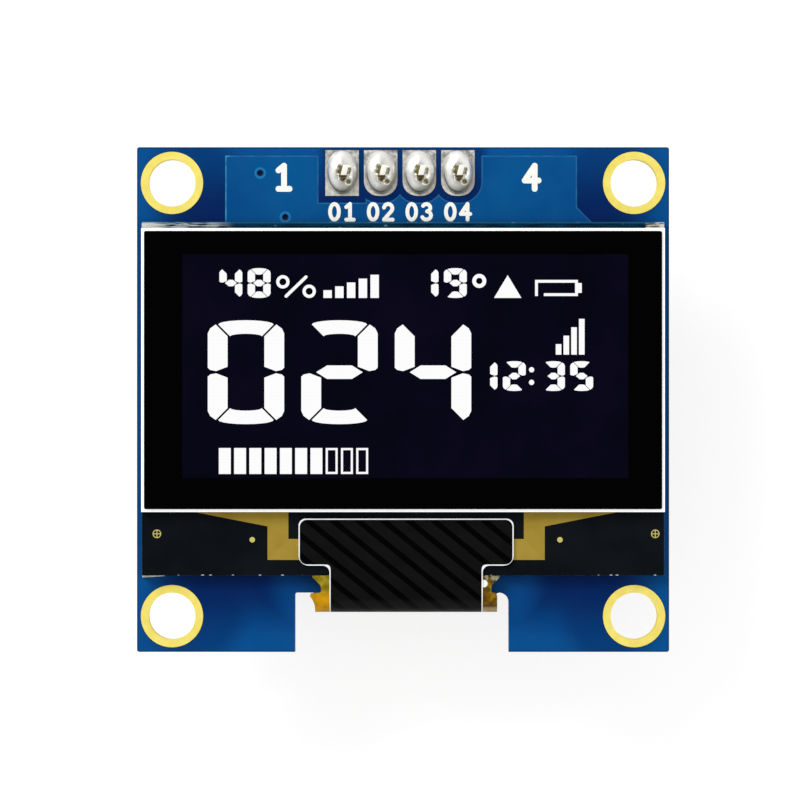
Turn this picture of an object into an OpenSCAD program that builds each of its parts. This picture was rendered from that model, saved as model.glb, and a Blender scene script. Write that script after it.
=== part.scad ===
// Small display module: a circuit board that carries a glass display panel and a four-pin header.
// The origin is the centre of the four mounting holes, on the back face of the board.
// X runs to the right and Y to the header edge, as seen from the front. Z runs out of the display.

/* [Circuit board] */
// Width of the circuit board
board_w = 35; // [33:0.1:40]
// Height of the circuit board
board_h = 33.2; // [32:0.1:38]
// Thickness of the circuit board
board_t = 1.2; // [0.8:0.1:1.6]
// Radius of the outer corners of the board
board_corner_r = 0.15; // [0.05:0.05:0.8]
// Space in the notch to the left of the folded circuit
notch_gap_left = 1.3; // [0.5:0.1:2]
// Space in the notch to the right of the folded circuit
notch_gap_right = 0.75; // [0.5:0.05:2]
// Radius of the left corner of the notch
notch_left_r = 0.15; // [0.05:0.05:0.7]
// Radius of the right corner of the notch
notch_right_r = 0.65; // [0.05:0.05:0.7]
// Distance from the lower edge of the rear glass to the notch
notch_drop = 1.15; // [0.8:0.05:1.5]
// Thickness of the copper layers, with the solder mask over them
copper_t = 0.03; // [0.02:0.005:0.06]
// Thickness of the white print
ink_t = 0.02; // [0.01:0.005:0.04]

/* [Mounting holes] */
// Diameter of a mounting hole inside its plating
hole_d = 3.1; // [2:0.1:3.4]
// Distance from a mounting hole's centre to the side edge
hole_inset_x = 2.3; // [2.2:0.05:3]
// Distance from a mounting hole's centre to the upper or lower edge
hole_inset_y = 2.35; // [2.2:0.05:3]
// Width of the flat plated ring round a mounting hole
ring_w = 0.5; // [0.3:0.05:0.6]
// Thickness of the plating in all holes and of the bare pads
plating_t = 0.05; // [0.03:0.01:0.08]

/* [Pin header] */
// Distance between neighbouring pins
pin_pitch = 2.54; // [2.4:0.01:2.7]
// Side of a square pin
pin_side = 0.64; // [0.5:0.01:0.7]
// Length of a pin below its spacer
pin_reach = 6; // [3:0.1:12]
// Length of the tapered end of a pin
pin_taper = 0.35; // [0.1:0.05:0.6]
// Space between a pin's corners and its plated hole
pin_clearance = 0.05; // [0.02:0.01:0.15]
// Sideways offset of the header from the middle of the board
header_x = -0.2; // [-1:0.05:1]
// Space between neighbouring header pads
pad_gap = 0.34; // [0.2:0.01:0.6]
// Height of a header pad
pad_h = 3; // [2.4:0.1:3.4]
// Radius of the lower corners of all header pads but the first
pad_corner_r = 0.95; // [0.2:0.05:1]
// Distance from the pads to the upper edge of the board
pad_edge_gap = 0.2; // [0.1:0.05:0.4]
// Height of a solder joint over its pad
solder_h = 0.85; // [0.5:0.05:1.2]
// Height of a pin's tip over its solder joint
pin_tip_h = 0.12; // [0.05:0.01:0.5]
// Space between the edge of a pad and its solder joint
solder_inset = 0.12; // [0.05:0.01:0.3]
// Height and depth of the black spacer
spacer_side = 2.54; // [2:0.01:3]
// Size of the notches between the spacer's blocks
spacer_chamfer = 0.45; // [0.2:0.05:0.7]

/* [Display panel] */
// Thickness of the double-sided tape
tape_t = 0.2; // [0.1:0.05:0.5]
// Distance from the edge of the rear glass to the tape
tape_inset = 0.35; // [0.2:0.05:1]
// Width of the rear glass
rear_glass_w = 34.3; // [31:0.1:34.4]
// Height of the rear glass
rear_glass_h = 23.2; // [22:0.1:24]
// Thickness of each glass
glass_t = 0.55; // [0.4:0.05:0.8]
// Distance from the upper edge of the board to the rear glass
panel_drop = 4.95; // [4.8:0.05:6]
// Width of the front glass
front_glass_w = 34.3; // [31:0.1:34.8]
// Height of the front glass
front_glass_h = 18.6; // [17:0.1:19]
// Distance from the upper edge of the rear glass to the front glass
front_glass_drop = 0.42; // [0.2:0.02:1]
// Gap between the two glasses
panel_gap = 0.05; // [0.03:0.01:0.1]
// Width of the seal between the two glasses
seal_w = 0.9; // [0.4:0.1:1.2]
// Distance from the edge of the front glass to the seal
seal_inset = 0.3; // [0.2:0.05:0.6]
// Thickness of the polarizer film
polarizer_t = 0.2; // [0.1:0.05:0.3]
// Width of the glass edge that shows round the polarizer
polarizer_inset = 0.19; // [0.1:0.01:0.5]
// Width of the picture
picture_w = 29.42; // [26:0.02:30]
// Height of the picture
picture_h = 14.7; // [14.5:0.02:15.2]
// Sideways offset of the picture on the front glass
picture_x = 0.15; // [-0.5:0.05:0.5]
// Distance from the upper edge of the front glass to the picture
picture_drop = 1.7; // [1.6:0.05:2.5]
// Height of the lit shapes over the polarizer
lit_t = 0.02; // [0.01:0.005:0.05]

/* [Display figures] */
// Number that the display shows
reading = 24; // [0:1:999]
// Width of a large figure
figure_w = 5; // [4:0.1:5.4]
// Height of a large figure
figure_h = 6.8; // [6:0.1:7]
// Distance between neighbouring large figures
figure_pitch = 6.12; // [5.6:0.02:6.4]
// Width of a small figure
small_w = 1.5; // [1:0.05:1.6]
// Height of a small figure
small_h = 1.95; // [1.6:0.05:2.2]
// Distance between neighbouring small figures
small_pitch = 1.85; // [1.7:0.05:2.1]

/* [Flexible circuit] */
// Sideways offset of the flexible circuit from the middle of the board
flex_x = 0.2; // [-0.4:0.05:0.6]
// Thickness of the flexible circuit
flex_t = 0.1; // [0.05:0.01:0.15]
// Width of the flexible circuit in its fold
fold_w = 12; // [11:0.1:13]
// Distance from the notch to the start of the fold
fold_gap = 0.1; // [0.05:0.01:0.3]
// Width of the waist above the fold
waist_w = 11.1; // [10.8:0.1:11.6]
// Width of the black cover's head
cover_head_w = 14.1; // [13:0.1:16]
// Height of the black cover's head
cover_head_h = 3.08; // [2.8:0.02:3.3]
// Width of the black cover's neck
cover_neck_w = 10.05; // [8:0.05:10.6]
// Distance from the front glass to the black cover
cover_drop = 0.44; // [0.2:0.02:0.6]
// Thickness of the black cover over the flexible circuit
cover_t = 0.1; // [0.08:0.01:0.2]
// Radius of the upper corners of the black cover
cover_top_r = 0.45; // [0.1:0.05:0.8]
// Radius of the lower corners of the head
cover_head_r = 0.65; // [0.1:0.05:0.8]
// Radius of the corners between head and neck
cover_neck_r = 0.45; // [0.1:0.05:0.6]
// Distance between neighbouring diagonal bands
band_pitch = 1.04; // [0.8:0.02:1.6]
// Width of a diagonal band
band_w = 0.36; // [0.2:0.02:0.5]
// Depth of a diagonal band
band_depth = 0.025; // [0.01:0.005:0.04]
// Slope of the diagonal bands
band_angle = 39; // [20:1:60]
// Width of the soldered tail behind the board
tail_w = 19; // [16:0.2:20]
// Height of the soldered tail
tail_h = 2.6; // [2:0.1:3]
// Number of soldered fingers on the tail
finger_count = 30; // [16:1:32]
// Width of a soldered finger
finger_w = 0.34; // [0.2:0.02:0.4]
// Length of a soldered finger
finger_l = 2.2; // [1.6:0.1:2.6]
// Height of the solder on a finger
finger_h = 0.1; // [0.05:0.01:0.2]

/* [Driver chip and ledge] */
// Thickness of the gold traces
trace_t = 0.02; // [0.01:0.005:0.04]
// Width of the driver chip
chip_w = 8; // [6:0.1:10]
// Height of the driver chip
chip_h = 0.9; // [0.6:0.05:1.1]
// Thickness of the driver chip
chip_t = 0.14; // [0.08:0.01:0.16]
// Distance from the upper edge of the black cover to the driver chip
chip_drop = 0.5; // [0.3:0.05:0.8]
// Distance from the driver chip to the flexible circuit
chip_flex_gap = 0.3; // [0.1:0.05:0.5]
// Width of the gold bands on the ledge
trace_w = 1.37; // [0.8:0.01:1.6]
// Distance from the cover's neck to the outer edge of a gold band
band_gap = 4.07; // [3.5:0.01:4.5]
// Distance from the upper edge of the cover to the gold bands that go in under it
band_drop = 1.34; // [0.6:0.02:1.6]
// Width of the tapered end of a gold band
band_taper_w = 4.85; // [3:0.05:6]
// Height of the tapered end of a gold band
band_taper_h = 0.95; // [0.5:0.05:1.5]
// Distance from a gold band to the dot beside it
dot_gap = 1; // [0.5:0.05:2]
// Distance from the front glass to the centre of a dot
dot_drop = 1.83; // [1:0.01:3]
// Radius of a dot
dot_r = 0.18; // [0.1:0.01:0.3]
// Distance from the side edge of the rear glass to the centre of a ring mark
mark_gap = 0.8; // [0.5:0.05:2]
// Distance from the front glass to the centre of a ring mark
mark_drop = 1.44; // [0.8:0.02:3]
// Radius of a ring mark
mark_r = 0.28; // [0.2:0.01:0.4]
// Width of the lines of a ring mark
mark_line = 0.06; // [0.04:0.01:0.1]

/* [Parts on the back] */
// Length of a chip resistor or capacitor
chip_part_l = 1.6; // [1:0.1:1.8]
// Width of a chip resistor or capacitor
chip_part_w = 0.8; // [0.5:0.05:1]
// Height of a chip resistor
resistor_h = 0.45; // [0.3:0.05:0.6]
// Height of a chip capacitor
capacitor_h = 0.8; // [0.4:0.05:1]
// Length of the metal ends of a chip resistor or capacitor
cap_end_l = 0.3; // [0.2:0.05:0.4]
// Reach of a solder fillet from the end of a part
fillet_reach = 0.3; // [0.15:0.05:0.4]
// Height of a solder fillet
fillet_h = 0.35; // [0.2:0.05:0.4]
// Width of a trace on the back
back_trace_w = 0.3; // [0.15:0.05:0.4]

/* [Hidden] */
PIN_COUNT = 4;
RESISTOR_COUNT = 5;
CAPACITOR_COUNT = 7;
function numbered(name, count) = [for (i = [1:count]) str(name, "_", i)];
$fn = 48;
// A cut reaches this far past the faces that it goes through
CUT = 0.5;

// Mounting holes
hole_x = board_w / 2 - hole_inset_x;
hole_y = board_h / 2 - hole_inset_y;
ring_r = hole_d / 2 + ring_w;

// Header
pin_hole_r = pin_side / sqrt(2) + pin_clearance;
pad_w = pin_pitch - pad_gap;
pad_top_y = board_h / 2 - pad_edge_gap;
pad_bottom_y = pad_top_y - pad_h;
pin_y = pad_top_y - pad_h / 2;
pad_top_z = board_t + plating_t;
solder_top_z = pad_top_z + solder_h;
pin_top_z = solder_top_z + pin_tip_h;
spacer_top_z = -plating_t;
spacer_bottom_z = spacer_top_z - spacer_side;
pin_bottom_z = spacer_bottom_z - pin_reach;
function pin_x(i) = header_x + (i - (PIN_COUNT + 1) / 2) * pin_pitch;

// Display panel, from the board outwards
rear_glass_z = board_t + tape_t;
ledge_z = rear_glass_z + glass_t;
front_glass_z = ledge_z + panel_gap;
polarizer_z = front_glass_z + glass_t;
lit_z = polarizer_z + polarizer_t;
rear_glass_top = board_h / 2 - panel_drop;
rear_glass_bottom = rear_glass_top - rear_glass_h;
front_glass_top = rear_glass_top - front_glass_drop;
front_glass_bottom = front_glass_top - front_glass_h;
picture_top = front_glass_top - picture_drop;
picture_left = picture_x - picture_w / 2;
// The display has square dots in 64 rows of 128, and its signs are drawn in dots
dot = min(picture_w / 128, picture_h / 64);
// The seal's inner edge, as a half width and two heights
seal_inner_x = front_glass_w / 2 - seal_inset - seal_w;
seal_inner_top = front_glass_top - seal_inset - seal_w;
seal_inner_bottom = front_glass_bottom + seal_inset + seal_w;
// Space between the seal and the light-emitting layer: at the sides, above and below
EMITTER_GAP_SIDE = 1.09;
EMITTER_GAP_ABOVE = 0.25;
EMITTER_GAP_BELOW = 0.75;
// Space between the tape and a mounting ring
TAPE_RING_GAP = 0.5;

// Flexible circuit and its cover
notch_top = rear_glass_bottom - notch_drop;
fold_y = notch_top - fold_gap;
flex_z = ledge_z + trace_t;
fold_r = flex_z / 2;
fold_bottom = fold_y - 2 * fold_r;
cover_z = flex_z + flex_t + cover_t;
cover_top = front_glass_bottom - cover_drop;
cover_shoulder = cover_top - cover_head_h;
notch_left = flex_x - fold_w / 2 - notch_gap_left;
notch_right = flex_x + fold_w / 2 + notch_gap_right;
chip_top = cover_top - chip_drop;
flex_top = chip_top - chip_h - chip_flex_gap;
// On the glass the flexible circuit stays inside its cover's neck and head
FLEX_NECK_INSET = 0.15;
FLEX_HEAD_INSET = 0.3;
flex_bond_w = cover_neck_w - 2 * FLEX_NECK_INSET;
flex_bond_head_w = cover_head_w - 2 * FLEX_HEAD_INSET;
// The gold bands on the ledge reach this far from the middle of the cover
band_outer = cover_neck_w / 2 + band_gap;
// The tail widens from the fold's width at the notch to its full width
tail_flare = 1.2;
tail_bottom = notch_top + tail_flare;
tail_top = tail_bottom + tail_h;
// How far the fingers reach past the end of the tail, and their lands past the fingers
finger_overhang = 1;
FINGER_LAND = 0.2;
TAIL_MARGIN = 0.5;

// Copper fields on the front: distances from the board's edges, and the space round the header pads
POUR_LEFT = 5.8;
POUR_RIGHT = 6.05;
POUR_TOP = 0.55;
POUR_CHAMFER = 1;
POUR_GAP = 0.45;
// Plated holes through the board, with a ring of copper: distances from its left and upper edges
VIA_R = 0.2;
VIA_RING = 0.12;
VIAS = [
    [8.1, 1.7], [9.75, 4.6], [12, 8.4], [20, 12.4], [26.6, 9.6],
    [7.2, 12.6], [27.8, 14.2], [14, 15.6], [22, 16.4]
];

// Parts on the back: distances of each centre from the board's left and upper edges, and the turn
RESISTORS = [[17.3, 7.4, 90], [24.4, 7, 90], [26.6, 7, 90], [29.6, 10.6, 0], [29.6, 12.6, 0]];
CAPACITORS = [
    [4.6, 9.4, 90], [10.9, 7.6, 90], [21.6, 7.2, 90],
    [9.4, 19.4, 0], [13.4, 19.4, 0], [17.4, 19.4, 0], [21.4, 19.4, 0]
];
DIODE = [26, 19.2, 0];
REGULATOR = [7.8, 7.6, 90];
DIODE_BODY = [1.7, 1.25, 0.9];
REGULATOR_BODY = [2.9, 1.4, 1];
LEAD_T = 0.15;
// Width of a lead of each, how much wider the lead's solder and its land are, and the body's standoff
DIODE_LEAD_W = 0.35;
REGULATOR_LEAD_W = 0.4;
LEAD_SOLDER = 0.1;
LEAD_LAND_W = 0.3;
BODY_STANDOFF = 0.05;
// Lands reach this far past a part's ends, and past the tip of a lead
LAND_REACH = 0.35;
LEAD_LAND = 0.2;
function place(at) = [at[0] - board_w / 2, board_h / 2 - at[1]];

// Unit vector along v
function unit(v) = v / norm(v);
// Vector v turned by angle a
function turned(v, a) = [v[0] * cos(a) - v[1] * sin(a), v[0] * sin(a) + v[1] * cos(a)];
// Points of an arc with radii rx and ry, from angle a to angle b
function arc(centre, rx, ry, a, b, steps = 8) =
    [for (k = [0:steps]) let (t = a + (b - a) * k / steps) centre + [rx * cos(t), ry * sin(t)]];
// Path p, a list of [x, y, radius], with each corner rounded to its radius. A straight run has no corner.
function rounded(p, steps = 6) = [
    for (i = [0:len(p) - 1])
        let (here = [p[i][0], p[i][1]],
             before = p[(i + len(p) - 1) % len(p)],
             after = p[(i + 1) % len(p)],
             u = unit([before[0], before[1]] - here),
             v = unit([after[0], after[1]] - here),
             half = acos(u * v) / 2,
             centre = here + unit(u + v) * p[i][2] / sin(half),
             start = here + u * p[i][2] / tan(half) - centre,
             turn = (u[0] * v[1] - u[1] * v[0] < 0 ? 1 : -1) * (180 - 2 * half))
        each p[i][2] == 0 || norm(u + v) < 0.001 ? [here] :
            [for (k = [0:steps]) centre + turned(start, turn * k / steps)]
];
// Path of a symmetric shape from its right half
function both_sides(right) =
    concat(right, [for (k = [len(right) - 1:-1:0]) [-right[k][0], right[k][1], right[k][2]]]);

// A pen stroke of width w along the points p, with round ends
module stroke(p, w) {
    for (i = [0:len(p) - 2]) {
        along = p[i + 1] - p[i];
        translate(p[i])
            rotate(atan2(along[1], along[0]))
                translate([0, -w / 2])
                    square([norm(along), w]);
    }
    for (q = p)
        translate(q)
            circle(w / 2, $fn = 16);
}

// Point at distance d to the left of the line p at its point i, mitred at a bend
function beside(p, i, d) =
    let (before = unit(p[max(i, 1)] - p[max(i, 1) - 1]),
         after = unit(p[min(i + 1, len(p) - 1)] - p[min(i, len(p) - 2)]),
         side = [-before[1], before[0]],
         mitre = unit(side + [-after[1], after[0]]))
    p[i] + mitre * d / (mitre * side);
// A copper route of width w along the points p, with mitred bends and square ends
module route(p, w) {
    polygon(concat(
        [for (i = [0:len(p) - 1]) beside(p, i, w / 2)],
        [for (i = [len(p) - 1:-1:0]) beside(p, i, -w / 2)]));
}

// Strokes of the plain numerals 0 to 4, each 1 high and 0.6 wide
NUMERAL_W = 0.6;
NUMERALS = [
    [arc([0.3, 0.5], 0.28, 0.5, 0, 360, 20)],
    [[[0.08, 0.8], [0.32, 1], [0.32, 0]], [[0.08, 0], [0.56, 0]]],
    [concat(arc([0.29, 0.72], 0.27, 0.28, 170, -35, 8), [[0.02, 0]]), [[0.02, 0], [0.58, 0]]],
    [concat(arc([0.27, 0.76], 0.25, 0.24, 150, -80, 7), arc([0.27, 0.27], 0.29, 0.27, 80, -155, 9))],
    [[[0.43, 0], [0.43, 1], [0, 0.36], [0.6, 0.36]]]
];
// Plain numeral n, h high from the outer edges of its strokes, centred on the origin
module numeral(n, h, w) {
    rise = h - w;
    for (p = NUMERALS[n])
        stroke([for (q = p) [(q[0] - NUMERAL_W / 2) * rise, (q[1] - 0.5) * rise]], w);
}

// Which of the segments a to g are lit for each figure from 0 to 9
SEGMENTS = ["abcdef", "bc", "abged", "abgcd", "fgbc", "afgcd", "afgedc", "fabc", "abcdefg", "abcdfg"];
// Shape of a segment figure: w wide and h high, with upright bars s wide and level bars t high
module figure(n, w, h, s, t) {
    corner = 0.4 * s;
    bow = 0.055 * w;
    slit = 0.034 * w;
    rest = 0.055 * s;
    mitre = s - corner + bow;
    // Upper level bar, bowed outwards, between two mitred ends
    top_bar = concat(
        arc([0, h / 2 - bow], w / 2 - corner - slit, bow, 180, 0, 10),
        arc([0, h / 2 - mitre], w / 2 - s - slit, mitre - t, 0, 180, 10));
    // Upper upright bar on the left, mitred above and pointed below
    side_bar = [
        [-w / 2 + corner, h / 2 - bow], [-w / 2 + 0.12 * s, h / 2 - bow - 0.2 * s],
        [-w / 2, h / 2 - bow - 0.45 * s], [-w / 2, rest + 0.17 * s], [-w / 2 + 0.12 * s, rest + 0.06 * s],
        [-w / 2 + 0.42 * s, rest], [-w / 2 + s, rest + 0.22 * s], [-w / 2 + s, h / 2 - mitre]];
    // Middle level bar, pointed at both ends
    end_x = w / 2 - 0.75 * s;
    flat_x = w / 2 - 1.3 * s;
    middle_bar = [
        [-end_x, 0], [-flat_x, t / 2], [flat_x, t / 2],
        [end_x, 0], [flat_x, -t / 2], [-flat_x, -t / 2]];
    for (lit = SEGMENTS[n]) {
        if (lit == "a") polygon(top_bar);
        if (lit == "d") mirror([0, 1]) polygon(top_bar);
        if (lit == "f") polygon(side_bar);
        if (lit == "b") mirror([1, 0]) polygon(side_bar);
        if (lit == "e") mirror([0, 1]) polygon(side_bar);
        if (lit == "c") rotate(180) polygon(side_bar);
        if (lit == "g") polygon(middle_bar);
    }
}

// Places what follows at each pin of the header
module at_pin(i) {
    translate([pin_x(i), pin_y, 0]) children();
}

// ---- Circuit board ----

board_path = [
    [-board_w / 2, board_h / 2, board_corner_r],
    [-board_w / 2, -board_h / 2, board_corner_r],
    [notch_left, -board_h / 2, 0],
    [notch_left, notch_top, notch_left_r],
    [notch_right, notch_top, notch_right_r],
    [notch_right, -board_h / 2, 0],
    [board_w / 2, -board_h / 2, board_corner_r],
    [board_w / 2, board_h / 2, board_corner_r]
];

module circuit_board() {
    color("#063f8a")
        difference() {
            linear_extrude(board_t) polygon(rounded(board_path));
            for (x = [-hole_x, hole_x], y = [-hole_y, hole_y])
                translate([x, y, -CUT]) cylinder(r = hole_d / 2 + plating_t, h = board_t + 2 * CUT);
            for (i = [1:PIN_COUNT])
                at_pin(i) translate([0, 0, -CUT]) cylinder(r = pin_hole_r + plating_t, h = board_t + 2 * CUT);
            translate([0, 0, -CUT]) linear_extrude(board_t + 2 * CUT) vias();
        }
}

// The small plated holes, seen from above
module vias() {
    for (v = VIAS)
        translate(place(v)) circle(VIA_R, $fn = 24);
}

// Ring i sits in corner i: upper left, upper right, lower left, lower right
module mounting_ring(i) {
    x = (i % 2 == 1 ? -1 : 1) * hole_x;
    y = (i <= 2 ? 1 : -1) * hole_y;
    color("#f3dd62")
        translate([x, y, 0])
            difference() {
                union() {
                    translate([0, 0, -plating_t]) cylinder(r = ring_r, h = plating_t);
                    translate([0, 0, board_t]) cylinder(r = ring_r, h = plating_t);
                    cylinder(r = hole_d / 2 + plating_t, h = board_t);
                }
                translate([0, 0, -CUT]) cylinder(r = hole_d / 2, h = board_t + 2 * CUT);
            }
}

// Header pad as seen from above, grown by a margin on all sides
module pad_shape(i, margin = 0) {
    r = i == 1 ? 0 : pad_corner_r + margin;
    x = pad_w / 2 + margin;
    y = pad_h / 2 + margin;
    polygon(rounded([[-x, -y, r], [x, -y, r], [x, y, 0], [-x, y, 0]]));
}

module header_pad(i) {
    color("#cfccc6")
        at_pin(i)
            difference() {
                union() {
                    translate([0, 0, board_t]) linear_extrude(plating_t) pad_shape(i);
                    translate([0, 0, -plating_t]) linear_extrude(plating_t) pad_shape(i);
                    cylinder(r = pin_hole_r + plating_t, h = board_t);
                }
                translate([0, 0, -CUT]) cylinder(r = pin_hole_r, h = board_t + 2 * CUT);
            }
}

// Copper under the mask on the front: one field round the header, bare round each pad
module copper_front() {
    left = -board_w / 2 + POUR_LEFT;
    right = board_w / 2 - POUR_RIGHT;
    top = board_h / 2 - POUR_TOP;
    bottom = rear_glass_top - tape_inset;
    color("#0a5a9c")
        translate([0, 0, board_t])
            linear_extrude(copper_t)
                difference() {
                    polygon([
                        [left, bottom], [left, top], [right, top], [right, rear_glass_top + POUR_CHAMFER],
                        [right + POUR_CHAMFER, rear_glass_top], [right + POUR_CHAMFER, bottom]]);
                    for (i = [1:PIN_COUNT])
                        translate([pin_x(i), pin_y]) {
                            pad_shape(i, POUR_GAP);
                            translate([0, pad_h / 2]) square([pad_w + 2 * POUR_GAP, pad_h], center = true);
                        }
                    vias();
                }
}

// White numbers on the front: the first and last pin, and a two-figure number under each pad
module silkscreen_front() {
    big_h = 1.9;
    big_stroke = 0.38;
    big_drop = 0.28;
    first_gap = 3.85;
    last_gap = 4.85;
    label_h = 1.28;
    label_stroke = 0.25;
    label_gap = 0.06;
    label_pitch = 1;
    color("white")
        translate([0, 0, board_t + copper_t])
            linear_extrude(ink_t) {
                translate([pin_x(1) - first_gap, pin_y - big_drop]) numeral(1, big_h, big_stroke);
                translate([pin_x(PIN_COUNT) + last_gap, pin_y - big_drop]) numeral(4, big_h, big_stroke);
                for (i = [1:PIN_COUNT])
                    translate([pin_x(i), rear_glass_top + label_gap + label_h / 2]) {
                        translate([-label_pitch / 2, 0]) numeral(0, label_h, label_stroke);
                        translate([label_pitch / 2, 0]) numeral(i, label_h, label_stroke);
                    }
            }
}

// ---- Pin header ----

// A cap of a spheroid on the pad, and the filling of the plated hole, round the pin
module header_solder(i) {
    half_w = pad_w / 2 - solder_inset;
    half_l = pad_h / 2 - solder_inset / 2;
    sink = (half_w * half_w - solder_h * solder_h) / (2 * solder_h);
    radius = solder_h + sink;
    length = half_l / sqrt(1 - pow(sink / radius, 2));
    color("#dcdad4")
        at_pin(i)
            difference() {
                union() {
                    intersection() {
                        translate([0, 0, pad_top_z - sink])
                            rotate([90, 0, 0])
                                rotate_extrude() polygon(arc([0, 0], radius, length, -90, 90, 16));
                        translate([-pad_w, -pad_h, pad_top_z]) cube([2 * pad_w, 2 * pad_h, 2 * radius]);
                    }
                    translate([0, 0, -plating_t]) cylinder(r = pin_hole_r, h = board_t + 2 * plating_t);
                }
                translate([-pin_side / 2, -pin_side / 2, -CUT])
                    cube([pin_side, pin_side, solder_top_z + 2 * CUT]);
            }
}

// Side view of a pin, tapered at both ends
module pin_profile() {
    side = pin_side / 2;
    end = pin_side / 4;
    low = pin_bottom_z + pin_taper;
    high = pin_top_z - pin_taper;
    polygon([
        [-end, pin_bottom_z], [end, pin_bottom_z], [side, low], [side, high],
        [end, pin_top_z], [-end, pin_top_z], [-side, high], [-side, low]]);
}

module header_pin(i) {
    color("#e3c766")
        at_pin(i)
            intersection() {
                rotate([90, 0, 0]) linear_extrude(pin_side, center = true) pin_profile();
                rotate([90, 0, 90]) linear_extrude(pin_side, center = true) pin_profile();
            }
}

// One block per pin, with a notch between neighbouring blocks
module header_spacer() {
    half = spacer_side / 2;
    start = pin_x(1) - pin_pitch / 2;
    c = spacer_chamfer;
    upper = [for (i = [0:PIN_COUNT - 1]) let (x = start + i * pin_pitch)
        each [[x, half - c], [x + c, half], [x + pin_pitch - c, half], [x + pin_pitch, half - c]]];
    lower = [for (k = [len(upper) - 1:-1:0]) [upper[k][0], -upper[k][1]]];
    color("#1c1c1e")
        difference() {
            translate([0, pin_y, spacer_bottom_z])
                linear_extrude(spacer_side) polygon(concat(upper, lower));
            for (i = [1:PIN_COUNT])
                at_pin(i)
                    translate([-pin_side / 2, -pin_side / 2, spacer_bottom_z - CUT])
                        cube([pin_side, pin_side, spacer_side + 2 * CUT]);
        }
}

// ---- Display panel ----

// A sheet w wide between two heights, from z upwards
module sheet(w, bottom, top, z, t) {
    translate([-w / 2, bottom, z]) cube([w, top - bottom, t]);
}

// The tape stays clear of the rings where the board leaves them too little room
module mounting_tape() {
    color("#d8d5cc")
        difference() {
            sheet(rear_glass_w - 2 * tape_inset, rear_glass_bottom + tape_inset,
                  rear_glass_top - tape_inset, board_t, tape_t);
            for (x = [-hole_x, hole_x], y = [-hole_y, hole_y])
                translate([x, y, board_t - CUT]) cylinder(r = ring_r + TAPE_RING_GAP, h = tape_t + 2 * CUT);
        }
}

module rear_glass() {
    color("#0d1014")
        sheet(rear_glass_w, rear_glass_bottom, rear_glass_top, rear_glass_z, glass_t);
}

module panel_seal() {
    color("#b9b4a4")
        difference() {
            sheet(2 * (seal_inner_x + seal_w), seal_inner_bottom - seal_w, seal_inner_top + seal_w,
                  ledge_z, panel_gap);
            sheet(2 * seal_inner_x, seal_inner_bottom, seal_inner_top, ledge_z - CUT, panel_gap + 2 * CUT);
        }
}

// The light-emitting layer lies inside the seal, behind the picture
module emitter_layer() {
    color("#141a3c")
        translate([picture_x, 0, 0])
            sheet(2 * (seal_inner_x - EMITTER_GAP_SIDE), seal_inner_bottom + EMITTER_GAP_BELOW,
                  seal_inner_top - EMITTER_GAP_ABOVE, ledge_z, panel_gap);
}

module front_glass() {
    color("#e8ecee")
        sheet(front_glass_w, front_glass_bottom, front_glass_top, front_glass_z, glass_t);
}

module polarizer() {
    color("#020203")
        sheet(front_glass_w - 2 * polarizer_inset, front_glass_bottom + polarizer_inset,
              front_glass_top - polarizer_inset, polarizer_z, polarizer_t);
}

// Small figures of a number, from the left. They are drawn in dots, as all that follows.
module small_number(figures) {
    upright = 2.1;
    level = 1.85;
    for (k = [0:len(figures) - 1])
        translate([(k + 0.5) * small_pitch / dot, 0])
            figure(figures[k], small_w / dot, small_h / dot, upright, level);
}

// A ring of line width w
module ring(r, w) {
    difference() {
        circle(r);
        circle(r - w);
    }
}

// A rectangle drawn as a line
module frame(w, h, line) {
    difference() {
        square([w, h]);
        translate([line, line]) square([w - 2 * line, h - 2 * line]);
    }
}

// A row of upright bars from the left, with heights h[0], h[1] and so on
module bars(h, w, pitch) {
    for (k = [0:len(h) - 1])
        translate([k * pitch, 0]) square([w, h[k]]);
}

// Per cent sign, centred on the origin
module percent() {
    w = 11.3;
    h = 6.5;
    r = 1.9;
    line = 0.9;
    for (side = [-1, 1])
        translate([side * (w / 2 - r), -side * (h / 2 - r)]) ring(r, line);
    stroke([[-w / 4, -0.42 * h], [w / 4, 0.42 * h]], line);
}

// Battery sign: an outline that is open at the lower left, with a nub on its right end
module battery() {
    w = 12.2;
    h = 4.6;
    line = 0.8;
    gap = 1.7;
    nub_w = 1.1;
    nub_h = 2.8;
    difference() {
        frame(w, h, line);
        translate([line, -line]) square([gap, 2 * line + 0.1]);
    }
    translate([w - line, (h - nub_h) / 2]) square([line + nub_w, nub_h]);
}

// Charge: a number, a per cent sign and five rising bars. Its row is at y = 0.
module charge_sign() {
    small_number([4, 8]);
    translate([22.6, -1]) percent();
    translate([30.4, -small_h / dot / 2]) bars([2.2, 3.3, 4.4, 5.5, 6.6], 2.4, 3.35);
}

// Warmth: a number, a degree ring and a triangle
module warmth_sign() {
    triangle_w = 7.8;
    triangle_h = 6.5;
    small_number([1, 9]);
    translate([18.9, 0.6]) ring(2, 1.1);
    translate([23.1, -small_h / dot / 2]) polygon([[0, 0], [triangle_w, 0], [triangle_w / 2, triangle_h]]);
}

// Time: two pairs of figures with a colon
module time_sign() {
    colon_x = 17;
    small_number([1, 2]);
    for (y = [-1.8, 1.8])
        translate([colon_x, y]) circle(0.75);
    translate([colon_x + 2.2, 0]) small_number([3, 5]);
}

// Level: seven solid blocks and three open ones
module level_bar() {
    block_w = 3.4;
    block_h = 7.4;
    pitch = 4.35;
    solid = 7;
    open = 3;
    bars([for (k = [1:solid]) block_h], block_w, pitch);
    for (k = [solid:solid + open - 1])
        translate([k * pitch, 0]) frame(block_w, block_h, 0.6);
}

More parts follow.
